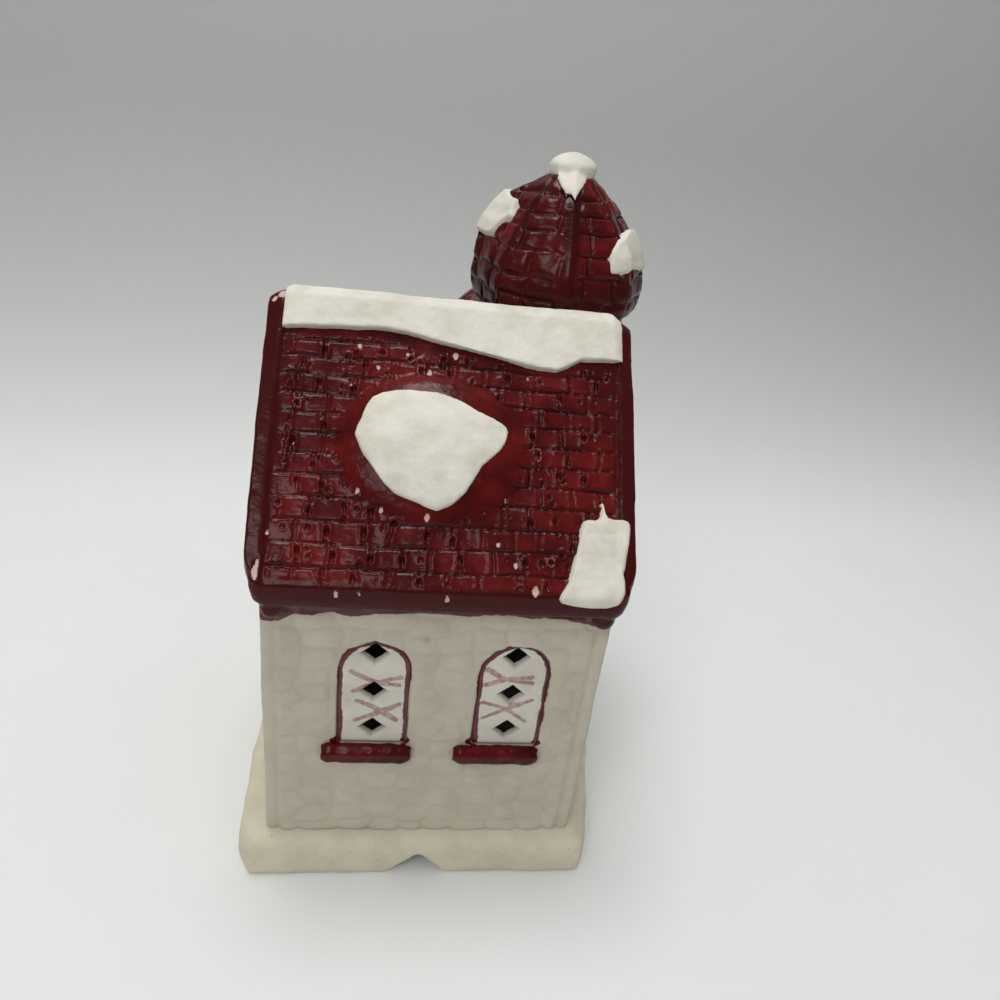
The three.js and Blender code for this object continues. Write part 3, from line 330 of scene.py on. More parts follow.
def brickwork(across, up, reach, seed=0):
    # Height, depth of groove and scuffs of a wall of bricks in courses
    rng = np.random.default_rng(bricks["seed"] + seed)
    k = np.arange(-1, bricks["courseCount"] + 2)
    stops = bricks["courseStart"] + k * bricks["coursePitch"] - k * k * bricks["courseTaper"]
    flat = np.stack([across, up], 1)
    wavy = up + 0.3 * softNoise(flat, 6, seed + 3) + 0.12 * softNoise(flat, 2, seed + 4)
    course = np.clip(np.searchsorted(stops, wavy) - 1, 0, len(stops) - 2)
    toGroove = np.minimum(abs(wavy - stops[course]), abs(wavy - stops[course + 1]))
    # A groove fades and deepens along its way
    strength = 0.75 + 0.45 * softNoise(flat, 4.5, seed + 12)
    height = -bricks["groove"] * lump(toGroove, bricks["grooveWidth"]) * strength
    dark = 0.85 * lump(toGroove, bricks["grooveWidth"] * 1.25) * np.clip(strength, 0, 1)
    scuff = np.zeros(len(across))
    for row in range(len(stops) - 1):
        here = np.nonzero(course == row)[0]
        if not len(here):
            continue
        joints = np.arange(-reach, reach, bricks["length"]) + (row % 2) * bricks["length"] / 2
        joints = joints + rng.uniform(-1, 1)
        joints += rng.uniform(-0.9, 0.9, len(joints))
        lift = rng.uniform(-0.2, 0.24, len(joints) + 1)
        tilt = rng.uniform(-0.08, 0.08, len(joints) + 1)
        x = across[here] + 0.3 * softNoise(flat[here], 1.6, seed + 7)
        brick = np.searchsorted(joints, x)
        middle = 0.5 * (stops[row] + stops[row + 1])
        height[here] += (lift[brick] + tilt[brick] * (up[here] - middle)) * smooth(0.1, 0.9, toGroove[here])
        for joint, odd in zip(joints, rng.uniform(0, 1, (len(joints), 6))):
            close = abs(across[here] - joint) < 3
            near = here[close]
            if not len(near):
                continue
            dx = x[close] - joint
            dz = up[near] - middle
            # A seam between two raised lips
            seam = lump(dx, bricks["joint"])
            lips = 0.2 * lump(abs(dx) - 0.75, 0.3) * smooth(2.4, 1.6, abs(dz))
            height[near] += (lips - 0.3 * seam) * (0.35 + 0.9 * odd[2])
            dark[near] = np.maximum(dark[near], 0.8 * seam * (0.4 + 0.6 * odd[2]))
            # A pit with a rim, on most of the joints, and worn on some
            if odd[3] > 1 - bricks["pitted"]:
                pit = np.hypot(dx / 0.44, (dz - 0.8 + 1.6 * odd[0]) / (0.5 + 0.5 * odd[1]))
                height[near] += 0.26 * lump(pit - 1.6, 0.42) - 0.5 * lump(pit, 0.85)
                dark[near] = np.maximum(dark[near], lump(pit, 0.85))
                if odd[4] > 0.55:
                    scuff[near] = np.maximum(scuff[near], lump(pit - 1.5, 0.34) * odd[5])
    # Pinholes anywhere
    for _ in range(int(reach * 5)):
        spot = rng.uniform((-reach, stops[1]), (reach, stops[-1]))
        size = rng.uniform(0.22, 0.5)
        away = np.hypot(across - spot[0], (up - spot[1]) * 0.8)
        near = np.nonzero(away < 3 * size)[0]
        height[near] += -0.34 * lump(away[near], size) + 0.16 * lump(away[near] - 1.7 * size, 0.26)
        dark[near] = np.maximum(dark[near], 0.9 * lump(away[near], size))
    return height + ripples(flat, [(0.1, 2.4, seed + 8), (0.025, 1, seed + 9)]), dark, scuff


swelling = {"across": -3.5, "up": 27.2, "halfWidth": 18.2, "halfHeight": 15.6}

# Where the glaze is chipped or worn on the back slope: across, up, size
wornSpots = [
    (-18.2, 46.9, 0.7), (-9, 45.9, 0.6), (0.2, 46.6, 1), (-14.4, 42.9, 0.6), (-4.7, 42.6, 0.8),
    (-19.2, 38.8, 0.4), (-28.7, 26.5, 0.4), (-16.6, 18, 0.7), (-12.2, 14.6, 0.7), (-3.9, 13.6, 0.9),
    (-31.5, 9.6, 0.5), (-19, -0.6, 0.7), (-15.1, -0.3, 0.5), (0.4, -0.7, 0.7), (-33.2, 1.8, 1.5),
    (-33, 3.2, 1), (14.3, 43, 0.4), (10.4, 17.8, 0.5), (9.2, 9.5, 0.6), (12.5, 5.8, 0.7),
    (16.2, 1.3, 1.2), (-33.4, 57.3, 1.3), (-34.8, 56.6, 0.9),
]

towerMiddle = np.array([24.0, 24.0])

# The roof's ends droop at the ridge, and its lower corners are round
ends = {
    "from": 30.5,
    "to": 36.5,
    "drop": 2.3,
    "corner": 4.6,
    "halfWidth": 35.6,
    "nose": 40.4,
    "lowest": 60,
    "lean": 0.32,
}


def slumped(points):
    share = np.clip((abs(points[:, 0]) - ends["from"]) / (ends["to"] - ends["from"]), 0, 1.2)
    clearOfTower = smooth(20.5, 23, np.linalg.norm(points[:, :2] - towerMiddle, axis=1))
    top = smooth(100, 115, points[:, 2]) * (points[:, 1] < 12) * clearOfTower
    moved = points.copy()
    moved[:, 2] -= ends["drop"] * share ** 2 * top
    # The ends lean in towards their lower edges
    underSlope = -(points - slopes["back"][0]) @ slopeOut
    high = points[:, 2] > ends["lowest"]
    atBack = (points[:, 1] < 0) * high
    below = np.clip(underSlope - 1.2, 0, 5) * atBack
    moved[:, 0] -= np.sign(points[:, 0]) * ends["lean"] * below * smooth(33.5, 35.3, abs(points[:, 0]))
    wide = np.clip((abs(points[:, 0]) - ends["halfWidth"]) / ends["corner"] + 1, 0, 2)
    deep = np.clip((-points[:, 1] - ends["nose"]) / ends["corner"] + 1, 0, 2) * high
    squared = np.maximum(wide, deep) / np.maximum(np.hypot(wide, deep), 1e-6)
    pull = (1 - squared) * (wide > 0) * (deep > 0) * ends["corner"]
    moved[:, 0] -= np.sign(points[:, 0]) * wide * pull
    # Inwards along the slope
    moved[:, 1] += deep * pull
    moved[:, 2] += deep * pull * math.tan(pitch)
    return moved


# Paint on the back wall, across it and in height: a line round each window
arch = {"middles": (-11.7, 15.6), "halfWidth": 6.6, "sill": 35.5, "spring": 54.5}


def archLine(middle):
    # Up one side, round the top and down the other
    half = arch["halfWidth"]
    turns = np.linspace(math.pi, 0, 13)
    bow = [(middle + half * math.cos(turn), arch["spring"] + half * math.sin(turn)) for turn in turns]
    return [(middle - half, arch["sill"]), *bow, (middle + half, arch["sill"])]


# Dabs at the windows' feet, crosses on the panes, and the lower edge of the paint under the roof
footDabs = [(-18.8, 36.2), (-4.9, 36.5), (8.6, 36.4), (22.3, 36.2)]
crossPaint = [
    [(-16.2, 53.9), (-11.5, 51.6), (-6.8, 50.8)], [(-15.7, 49.1), (-11, 51.4), (-6.6, 52.8)],
    [(-14.9, 46.7), (-11.4, 44.9), (-7.1, 41.8)], [(-15.1, 41.6), (-11, 43.6), (-6.6, 45.9)],
    [(10.2, 55.3), (14, 53), (19.4, 52.2)], [(10.2, 51.4), (14.4, 53), (19.2, 53.6)],
    [(9.9, 46.9), (14.6, 45.4), (19.2, 42)], [(10.3, 42.8), (15, 45.4), (20, 47.7)],
]
bandPaint = [
    (-33.5, 65.9), (-32, 65.2), (-30.7, 65), (-28.6, 66.2), (-26.9, 67.1), (-23.5, 67), (-20, 67.7),
    (-16.5, 67), (-11.6, 67.8), (-6, 68.1), (-1, 68.4), (4.8, 68), (10.6, 68.6), (16.5, 68.3),
    (23.3, 68.5), (27.2, 67.4), (30, 66.6), (32, 67.6), (33.5, 68.6),
]


def fineSkin(nodes, voxel, rounds, lumps=()):
    # The nodes' shape and any lumps as one evenly meshed skin, its edges softened round after round
    packed = bmesh.new()
    for name in nodes:
        packed.from_mesh(frame["nodes"][name].data)
    for corners in lumps:
        found = [packed.verts.new((np.array(corner) + houseMiddle) * mm) for corner in corners]
        bmesh.ops.convex_hull(packed, input=found)
    mesh = bpy.data.meshes.new("core")
    packed.to_mesh(mesh)
    packed.free()
    core = bpy.data.objects.new("core", mesh)
    scene.collection.objects.link(core)
    skin = core.modifiers.new("skin", "REMESH")
    skin.mode, skin.voxel_size = "VOXEL", voxel * mm
    soften = core.modifiers.new("soften", "SMOOTH")
    soften.factor, soften.iterations = 0.5, rounds
    fine = bpy.data.meshes.new_from_object(core.evaluated_get(bpy.context.evaluated_depsgraph_get()))
    bpy.data.objects.remove(core)
    return fine


def readSkin(mesh):
    points, normals = np.zeros(len(mesh.vertices) * 3), np.zeros(len(mesh.vertices) * 3)
    mesh.vertices.foreach_get("co", points)
    mesh.vertices.foreach_get("normal", normals)
    return points.reshape(-1, 3) / mm - houseMiddle, normals.reshape(-1, 3)


def mark(mesh, name, values):
    found = mesh.attributes.get(name) or mesh.attributes.new(name, "FLOAT", "POINT")
    found.data.foreach_set("value", np.ascontiguousarray(values, np.float32))


def shapeSkin(mesh, points, normals, height):
    # Relief along the normals, kept inside the frame's box
    moved = (slumped(points) + normals * height[:, None] + houseMiddle) * mm
    low, high = (np.array(corner) for corner in startBounds)
    mesh.vertices.foreach_set("co", np.clip(moved, low, high).ravel())
    mesh.update()


def addPiece(name, mesh, finish, body, nodes):
    mesh.materials.clear()
    mesh.materials.append(finish)
    mesh.shade_smooth()
    piece = bpy.data.objects.new(name, mesh)
    scene.collection.objects.link(piece)
    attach(piece, body)
    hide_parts(*nodes)
    return piece


def firedPiece(name, nodes, finish, relief, voxel, rounds, sink=(0, 0, 0), lumps=()):
    # A ceramic piece: fine skin over the nodes, then relief along its normals, then its paint marks
    mesh = fineSkin(nodes, voxel, rounds, lumps)
    points, normals = readSkin(mesh)
    points = points + np.array(sink)
    height, marks = relief(points, normals)
    shapeSkin(mesh, points, normals, height)
    for key, values in marks.items():
        mark(mesh, key, values)
    addPiece(name, mesh, finish, "house", nodes)
    print(name, len(mesh.vertices), "points")


glaze = {
    "deep": tone(68, 7, 6),
    "bright": tone(108, 22, 19),
    "dark": tone(26, 2, 2),
    "rim": tone(64, 9, 7),
    "worn": tone(206, 176, 164),
    "scuff": tone(150, 92, 84),
    "roughness": 0.19,
}


def redGlaze():
    paint = Finish("oxblood glaze")
    patches = paint.noise(11, 4).step(0.4, 0.68)
    streaks = paint.noise(2.2, 3, distortion=0.6).step(0.42, 0.72)
    red = paint.blend((patches * 0.7 + streaks * 0.22).least(1), glaze["deep"], glaze["bright"])
    red = paint.blend(paint.marked("rim"), red, glaze["rim"])
    red = paint.blend((paint.marked("groove") * 0.95).least(1), red, glaze["dark"])
    speckle = paint.noise(0.6, 3)
    scuffed = (paint.marked("scuff") * 0.9 + (speckle - 0.5) * 0.9).step(0.35, 0.6)
    red = paint.blend(scuffed * 0.75, red, glaze["scuff"])
    worn = (paint.marked("wear") + (speckle - 0.5) * 0.9).step(-0.12, 0.1)
    colour = paint.blend(worn, red, glaze["worn"])
    rough = paint.noise(2.4, 3).step(0.3, 0.8) * 0.12 + glaze["roughness"] + worn * 0.5 + scuffed * 0.25
    return paint.shade(Base_Color=colour, Roughness=rough, Specular_IOR_Level=0.18,
                       Normal=paint.bump(paint.noise(1.1, 3), 0.04, paint.bump(paint.noise(3, 3), 0.22)))


wallClay = {
    "pale": tone(203, 195, 177),
    "grey": tone(193, 184, 165),
    "seam": tone(172, 162, 141),
    "paint": tone(82, 14, 17),
    "paintThin": tone(140, 62, 64),
}


def wallBisque(name="wall bisque", pale=None, grey=None):
    clay = Finish(name)
    mottle = clay.noise(6, 4).step(0.3, 0.75)
    body = clay.blend(mottle, pale or wallClay["pale"], grey or wallClay["grey"])
    body = clay.blend(clay.marked("groove") * 0.16, body, wallClay["seam"])
    ragged = (clay.noise(1.3, 4) - 0.5) * 0.6
    painted = (clay.marked("paint") + ragged).step(-0.1, 0.1)
    thin = clay.noise(2.6, 4).step(0.45, 0.7)
    stroke = clay.blend(thin * 0.4, wallClay["paint"], wallClay["paintThin"])
    crossed = (clay.marked("cross") + ragged).step(-0.14, 0.14)
    faint = clay.noise(1.1, 3).step(0.3, 0.7) * 0.35 + 0.45
    colour = clay.blend(crossed * faint, body, wallClay["paintThin"])
    colour = clay.blend(painted, colour, stroke)
    return clay.shade(Base_Color=colour, Roughness=0.78 - painted * 0.45 - crossed * 0.2,
                      Normal=clay.bump(clay.noise(0.35, 3), 0.05, clay.bump(clay.noise(2.4, 4), 0.16)))


baseClay = {"cream": tone(227, 218, 193), "stainAndShade": tone(184, 166, 132), "grey": tone(214, 206, 184)}


def baseBisque():
    clay = Finish("base bisque")
    body = clay.blend(clay.noise(8, 4).step(0.35, 0.7), baseClay["cream"], baseClay["grey"])
    # Stains here and there, and painted shade along the foot of the base, in one colour
    stainsAndFootShade = (clay.noise(3, 5).step(0.5, 0.78) * clay.marked("edge")).least(1)
    colour = clay.blend(stainsAndFootShade * 0.8, body, baseClay["stainAndShade"])
    pores = clay.cells(2.6).step(0.03, 0.1)
    return clay.shade(Base_Color=clay.blend(pores, baseClay["stainAndShade"], colour), Roughness=0.8,
                      Normal=clay.bump(clay.noise(0.4, 3), 0.06, clay.bump(clay.noise(3, 4), 0.25)))


snowClay = {"white": tone(227, 224, 210), "shade": tone(211, 206, 189), "speck": tone(128, 118, 100)}


def snowBisque():
    snow = Finish("snow bisque")
    body = snow.blend(snow.noise(5, 4).step(0.35, 0.75), snowClay["white"], snowClay["shade"])
    specks = (1 - snow.cells(4.2).step(0.035, 0.06)) * snow.noise(2, 2).step(0.45, 0.6)
    return snow.shade(Base_Color=snow.blend(specks * 0.75, body, snowClay["speck"]), Roughness=0.7,
                      Normal=snow.bump(snow.noise(0.5, 3), 0.05, snow.bump(snow.noise(2.6, 3), 0.22)))


redFinish, wallFinish, baseFinish, snowFinish = redGlaze(), wallBisque(), baseBisque(), snowBisque()
paneFinish = wallBisque("pane bisque", tone(222, 217, 204), tone(206, 200, 186))


# The roof

# Across and up the back slope: the top of the bricks, and the lower edge of the snow on the ridge
brickTop = [
    (-33, 46.4), (-27, 48), (-16, 48.2), (-8, 47.4), (2, 46.6), (10, 45), (20, 43.2), (27, 46), (33, 46.8),
]
snowEdge = [
    (-33, 50.3), (-21.7, 51.2), (-13.2, 51.7), (-9.4, 51.2), (-1.1, 49.4), (7.8, 47.6), (15.7, 46.1),
    (20, 45.8), (22.4, 47), (25, 48.7), (29.4, 49), (35, 49.1),
]
# The other slopes: how far their bricks reach to the sides and up, and the seed of their bricks
otherSlopes = {"front": (31.2, 50, 2), "gableLeft": (37, 52, 4), "gableRight": (37, 52, 6)}


def roofRelief(points, normals):
    height, groove, rim, scuff = (np.zeros(len(points)) for _ in range(4))
    across, up, off, square = onSlope(points, normals, "back")
    sideways = (across - swelling["across"]) / swelling["halfWidth"]
    reach = np.hypot(sideways, (up - swelling["up"]) / swelling["halfHeight"])
    sideLimit = 31.2 + up * 0.01 + 0.35 * softNoise(np.stack([up, across * 0.1], 1), 5, 31)
    bed = smooth(0, 1, sideLimit - abs(across)) * smooth(1.1, 2.4, up)
    bed *= (1 - smooth(-0.3, 0.9, up - alongLine(across, brickTop))) * smooth(0.5, 0.75, square)
    bed *= smooth(0.9, 1, reach + 0.05 * softNoise(np.stack([across, up], 1), 3, 12))
    on = np.nonzero(bed > 0.01)[0]
    bumps, seams, scuffs = brickwork(across[on], up[on], 33)
    height[on] += bumps * bed[on]
    groove[on] = seams * bed[on]
    scuff[on] = scuffs * bed[on]
    backOrFront = smooth(0.4, 0.7, square)
    rim = np.maximum(rim, backOrFront * smooth(-0.5, 0.3, abs(across) - sideLimit))
    rim = np.maximum(rim, smooth(-0.4, 1.2, 1.6 - up) * (points[:, 1] < -38))
    for name, (sideReach, top, seed) in otherSlopes.items():
        across, up, off, square = onSlope(points, normals, name)
        bed = smooth(0.6, 0.8, square) * smooth(1.2, 2.2, up) * (1 - smooth(0, 1.5, up - top))
        bed *= (abs(off) < 1.4) * smooth(0, 1, sideReach - abs(across))
        if name != "front":
            bed *= smooth(2, 3, points[:, 1])
        on = np.nonzero(bed > 0.01)[0]
        bumps, seams, scuffs = brickwork(across[on], up[on], 42, seed)
        height[on] += bumps * bed[on]
        groove[on] = np.maximum(groove[on], seams * bed[on])
        scuff[on] = np.maximum(scuff[on], scuffs * bed[on])
    across, up, off, square = onSlope(points, normals, "back")
    wear = np.full(len(points), -9.0)
    near = np.nonzero(points[:, 1] < 0)[0]
    for x, s, size in wornSpots:
        away = np.hypot((across[near] - x) * 1.25, (up[near] - s) * 0.85)
        wear[near] = np.maximum(wear[near], size * 0.62 - away)
        height[near] -= 0.22 * lump(away, size * 0.8) * (abs(off[near]) < 3)
    # Room for the snow on the ridge
    covered = smooth(0.3, 1.3, up - alongLine(across, snowEdge)) * (across < 33.4) * (across > -31.6)
    covered = covered * (points[:, 1] < 6.5) * (points[:, 2] > 100)
    height -= 0.75 * covered * smooth(0.2, 0.6, normals[:, 2])
    height += ripples(points, [(0.07, 6, 41), (0.04, 2, 42)])
    return height, {"groove": groove, "rim": rim, "wear": wear, "scuff": scuff}


firedPiece("roof", ["main_roof"], redFinish, roofRelief, voxel=0.32, rounds=9)


def snowRelief(points, normals):
    # Thinner where the ridge ends
    height = -0.9 * smooth(31.6, 34.6, abs(points[:, 0])) * (points[:, 2] > 100)
    return height + ripples(points, [(0.26, 8, 51), (0.1, 3, 52), (0.04, 1.2, 53)]), {}


# How far each patch of snow is pressed into what it lies on
snowPatches = {
    "ridge_snow": np.array([0, 0, -1.4]),
    "roof_mound_snow": slopeOut * -1.15,
    "front_gable_snow": gableOut * -0.6,
}
for name, sink in snowPatches.items():
    drift = name.replace("_snow", "_drift")
    firedPiece(drift, [name], snowFinish, snowRelief, voxel=0.28, rounds=8, sink=sink)


def within(flat, line):
    # Distance from an outline on a flat map, above 0 inside it
    odd = np.zeros(len(flat), bool)
    for a, b in zip(line, np.roll(line, -1, 0)):
        crossed = (a[1] > flat[:, 1]) != (b[1] > flat[:, 1])
        slant = (b[0] - a[0]) / ((b[1] - a[1]) or 1)
        odd ^= crossed & (flat[:, 0] < a[0] + (flat[:, 1] - a[1]) * slant)
    return np.where(odd, 1, -1) * lineDistance(flat, line, True)


cling = {"thick": 0.9, "skirt": 1.1, "margin": 1.4, "shell": 0.5, "voxel": 0.32}


def clingingSnow(name, node, base, flatMap, outline, rounds):
    # Snow that follows the skin of the piece below it, cut to an outline on a flat map of that skin
    mesh = fineSkin([base], cling["voxel"], rounds)
    points, normals = readSkin(mesh)
    inside = within(flatMap(points, normals), curved(outline, 4, True))
    height = cling["thick"] * smooth(-0.15, 0.5, inside) - cling["skirt"] * smooth(0.1, -0.6, inside)
    height += ripples(points, [(0.2, 7, 51), (0.1, 2.6, 52)]) * smooth(0, 0.6, inside)
    shapeSkin(mesh, points, normals, height)
    kept = bmesh.new()
    kept.from_mesh(mesh)
    kept.verts.ensure_lookup_table()
    far = [kept.verts[i] for i in np.nonzero(inside < -cling["margin"])[0]]
    bmesh.ops.delete(kept, geom=far, context="VERTS")
    kept.to_mesh(mesh)
    kept.free()
    piece = addPiece(name, mesh, snowFinish, "house", [node])
    shell = piece.modifiers.new("shell", "SOLIDIFY")
    shell.thickness, shell.offset = cling["shell"] * mm, -1
    print(name, len(mesh.vertices), "points")


# Across and up the back slope, and on down the nose of the eave
cornerOutline = [
    (21.1, -0.5), (22.2, 3), (23.3, 7.2), (24.2, 11), (25.3, 14.8), (28.2, 15.4), (29, 18.8),
    (30, 15.8), (33.7, 15.1), (33.9, 12), (33, 7), (32, -0.4),
]


def backMap(points, normals):
    across, up, off, square = onSlope(points, normals, "back")
    shown = (square > 0.3) | (normals[:, 1] < -0.5)
    return np.where((shown & (abs(off) < 6))[:, None], np.stack([across, up], 1), 99)


clingingSnow("eave_corner_drift", "eave_corner_snow", "main_roof", backMap, cornerOutline, rounds=20)

# Degrees round the tower's cap and height
leftCapOutline = [
    (160, 130), (162, 136.6), (176, 137.4), (187, 136.4), (196, 136.2), (202, 135), (207.5, 132.9),
    (203, 131.9), (199, 130.4), (196, 128.9), (190, 128.3), (178, 128.5), (166, 128.6),
]
rightCapOutline = [
    (296, 125), (298.5, 128.6), (303, 130.2), (309, 131.4), (325, 132.3), (350, 132.6), (365, 131.2),
    (368, 127), (358, 124.6), (340, 124.6), (318, 125.5), (306, 124.9),
]
# Millimetres to a degree round the cap
degree = 0.28


def roundTower(points, normals):
    # Angle and distance from the tower's middle, and how squarely the skin looks away from it
    flat = points[:, :2] - towerMiddle
    radius = np.hypot(flat[:, 0], flat[:, 1])
    outward = (normals[:, :2] * flat).sum(1) / np.maximum(radius, 0.1)
    return np.arctan2(flat[:, 1], flat[:, 0]), radius, outward


def capMap(points, normals):
    # Round the cap and up it, in millimetres of the cap's skin
    angle, radius, outward = roundTower(points, normals)
    turn = np.degrees(angle) % 360
    turn += 360 * (turn < 90)
    shown = outward + 0.4 * normals[:, 2] > 0.1
    return np.where(shown[:, None], np.stack([turn * degree, points[:, 2]], 1), 999)


for side, outline in {"left": leftCapOutline, "right": rightCapOutline}.items():
    line = [(turn * degree, z) for turn, z in outline]
    clingingSnow("tower_cap_drift_" + side, "tower_cap_snow_" + side, "tower_cap", capMap, line, rounds=12)


def ring(radius, height):
    turns = np.arange(16) * math.pi / 8
    return [(*(towerMiddle + radius * np.array([math.cos(t), math.sin(t)])), height) for t in turns]


knob = {"waist": 142.6, "height": 4.5, "drawnIn": 2.6}
# The knob sits down on the cap, and a drip runs from it
knobSkirt = ring(5, 141.6) + ring(5.2, 143.4)
knobDrip = [
    (19.6, 19.4, 141.4), (26.6, 19, 141.4), (21.6, 14.7, 138.2),
    (21.6, 15.6, 139.6), (20, 20.5, 143), (26.6, 20.5, 143),
]


def knobRelief(points, normals):
    # A dome, widest low down
    height, marks = snowRelief(points, normals)
    level = np.clip((points[:, 2] - knob["waist"]) / knob["height"], 0, 0.98)
    drawnIn = knob["drawnIn"] * (1 - np.sqrt(1 - level * level))
    return height - drawnIn * np.hypot(normals[:, 0], normals[:, 1]), marks


firedPiece("knob_drift", ["tower_snow_knob"], snowFinish, knobRelief, voxel=0.28, rounds=30,
           lumps=[knobSkirt, knobDrip])


# The tower

tower = {"turn": -4, "bottom": 113.4, "course": 4.9, "stone": 6.8, "hip": 1.7, "broadHip": 6, "radius": 16}
# Where the glaze is worn off the cap
capWear = np.array([17.5, 11.5, 135])


def capRelief(points, normals):
    angle, radius, outward = roundTower(points, normals)
    turn = np.degrees(angle) - tower["turn"]
    face = np.floor(turn / 45)
    beside = np.radians(turn - (face + 0.5) * 45)
    across = radius * np.sin(beside)
    toHip = radius * np.cos(beside) * math.tan(math.pi / 8) - abs(across)
    # The smooth strip is broad on the hip at the back and hardly there on the others
    strip = np.where(np.round(turn / 45) % 8 == tower["broadHip"], tower["hip"] * 1.25, tower["hip"] * 0.4)
    outside = smooth(0.1, 0.4, outward + normals[:, 2] * 0.4)
    outside *= radius > 5
    # Way up the cap, round its swelling
    above = points[:, 2] - tower["bottom"]
    up = above + smooth(14, 28, above) * 5
    height, groove = np.zeros(len(points)), np.zeros(len(points))
    bed = outside * smooth(strip * 0.6, strip * 1.3, toHip) * smooth(1.2, 2.4, up) * smooth(5.6, 7, radius)
    on = np.nonzero(bed > 0.01)[0]
    across, up, face = across[on], up[on], face[on].astype(int) % 8
    # Each face has stones of its own
    flatOn = np.stack([across + face * 50, up], 1)
    wavy = up + 0.7 * softNoise(flatOn, 4.5, 61)
    row = np.floor(wavy / tower["course"])
    dz = abs(wavy / tower["course"] - row - 0.5) * tower["course"]
    shift = ((row * 0.5 + 0.37 * np.sin(row * 2.3 + face * 1.7)) % 1) * tower["stone"]
    place = (across + 0.8 * softNoise(flatOn, 3, 62) + shift) / tower["stone"]
    dx = abs(place - np.floor(place) - 0.5) * tower["stone"]
    toEdge = np.minimum(tower["course"] / 2 - dz, tower["stone"] / 2 - dx)
    stone = 1 - np.exp(-np.maximum(toEdge, 0) / 0.55)
    # Some seams are nearly filled with glaze
    seams = np.clip(0.8 + 0.5 * softNoise(flatOn, 4, 67), 0.3, 1)
    lift = 0.22 * softNoise(np.stack([np.floor(place) + face * 13, row], 1) * 3.7, 1, 63)
    lift += ripples(flatOn, [(0.12, 2.2, 64), (0.03, 0.9, 65)])
    height[on] = ((stone - 0.7) * 1.1 * seams + lift * stone) * bed[on]
    groove[on] = (1 - smooth(0, 0.4, toEdge)) * bed[on] * 0.6 * seams
    hip = outside * (1 - smooth(strip * 0.6, strip * 1.3, toHip))
    height += 0.12 * softNoise(points, 4, 66) - 0.1 * hip
    wear = 0.45 - np.linalg.norm((points - capWear) * (1, 1, 1.4), axis=1)
    # Painted shade: the glaze darker low down on the cap, where the roof shades it
    lowCapShade = outside * (1 - smooth(6, 19, above)) * 0.5
    # The groove mark here also carries painted shade: the low part of the cap and the smooth strips on the
    # hips are darkened like the seams
    groove = np.maximum(np.maximum(groove, lowCapShade), hip * 0.6)
    return height, {"groove": groove, "rim": hip * 0, "wear": wear, "scuff": hip * 0}


firedPiece("cap", ["tower_cap"], redFinish, capRelief, voxel=0.32, rounds=8)


# Walls and base

walls = {"halfWidth": 33, "halfDepth": 36, "corner": 2.6, "cornerGroove": 0.26}
# No stones round the back windows: across, foot, half width
windowZones = [(-11.7, 36, 8.2), (15.6, 36, 8.4)]
# A boss between them: across, height, radius
boss = (-2.7, 62.1, 0.9)
# The windows, of which each has a pane and a ledge
windows = [
    "back_left", "back_right", "left_rear", "left_front",
    "right", "front_gable", "tower_front", "tower_side",
]


def stones(across, up, seed, size=(6.6, 4.6)):
    # Height and seams of flat rubble: distance between the two nearest of jittered stone middles
    cell = np.stack([across / size[0], up / size[1]], 1)
    cell = cell + 0.16 * np.stack([softNoise(cell, 0.8, k) for k in (seed + 5, seed + 6)], 1)
    low = np.floor(cell)
    nearest, second = np.full(len(cell), 9.0), np.full(len(cell), 9.0)
    for dx in (-1, 0, 1):
        for dy in (-1, 0, 1):
            home = low + (dx, dy)
            jitter = np.stack([softNoise(home * 3.1 + 0.5, 1, k) for k in (seed, seed + 1)], 1)
            away = np.linalg.norm(cell - home - 0.5 - 0.4 * jitter, axis=1)
            second = np.minimum(second, np.maximum(away, nearest))
            nearest = np.minimum(nearest, away)
    seam = 1 - smooth(0.02, 0.26, second - nearest)
    strength = 0.65 + 0.35 * softNoise(cell, 2.2, seed + 2)
    return (0.95 * (1 - nearest) - 0.35 * seam) * strength, seam * strength


wallRipples = [(0.2, 7, 71), (0.06, 2.2, 72)]


def underRoof(y):
    return roof["ridge"] - roof["thick"] - abs(y) * math.tan(pitch)


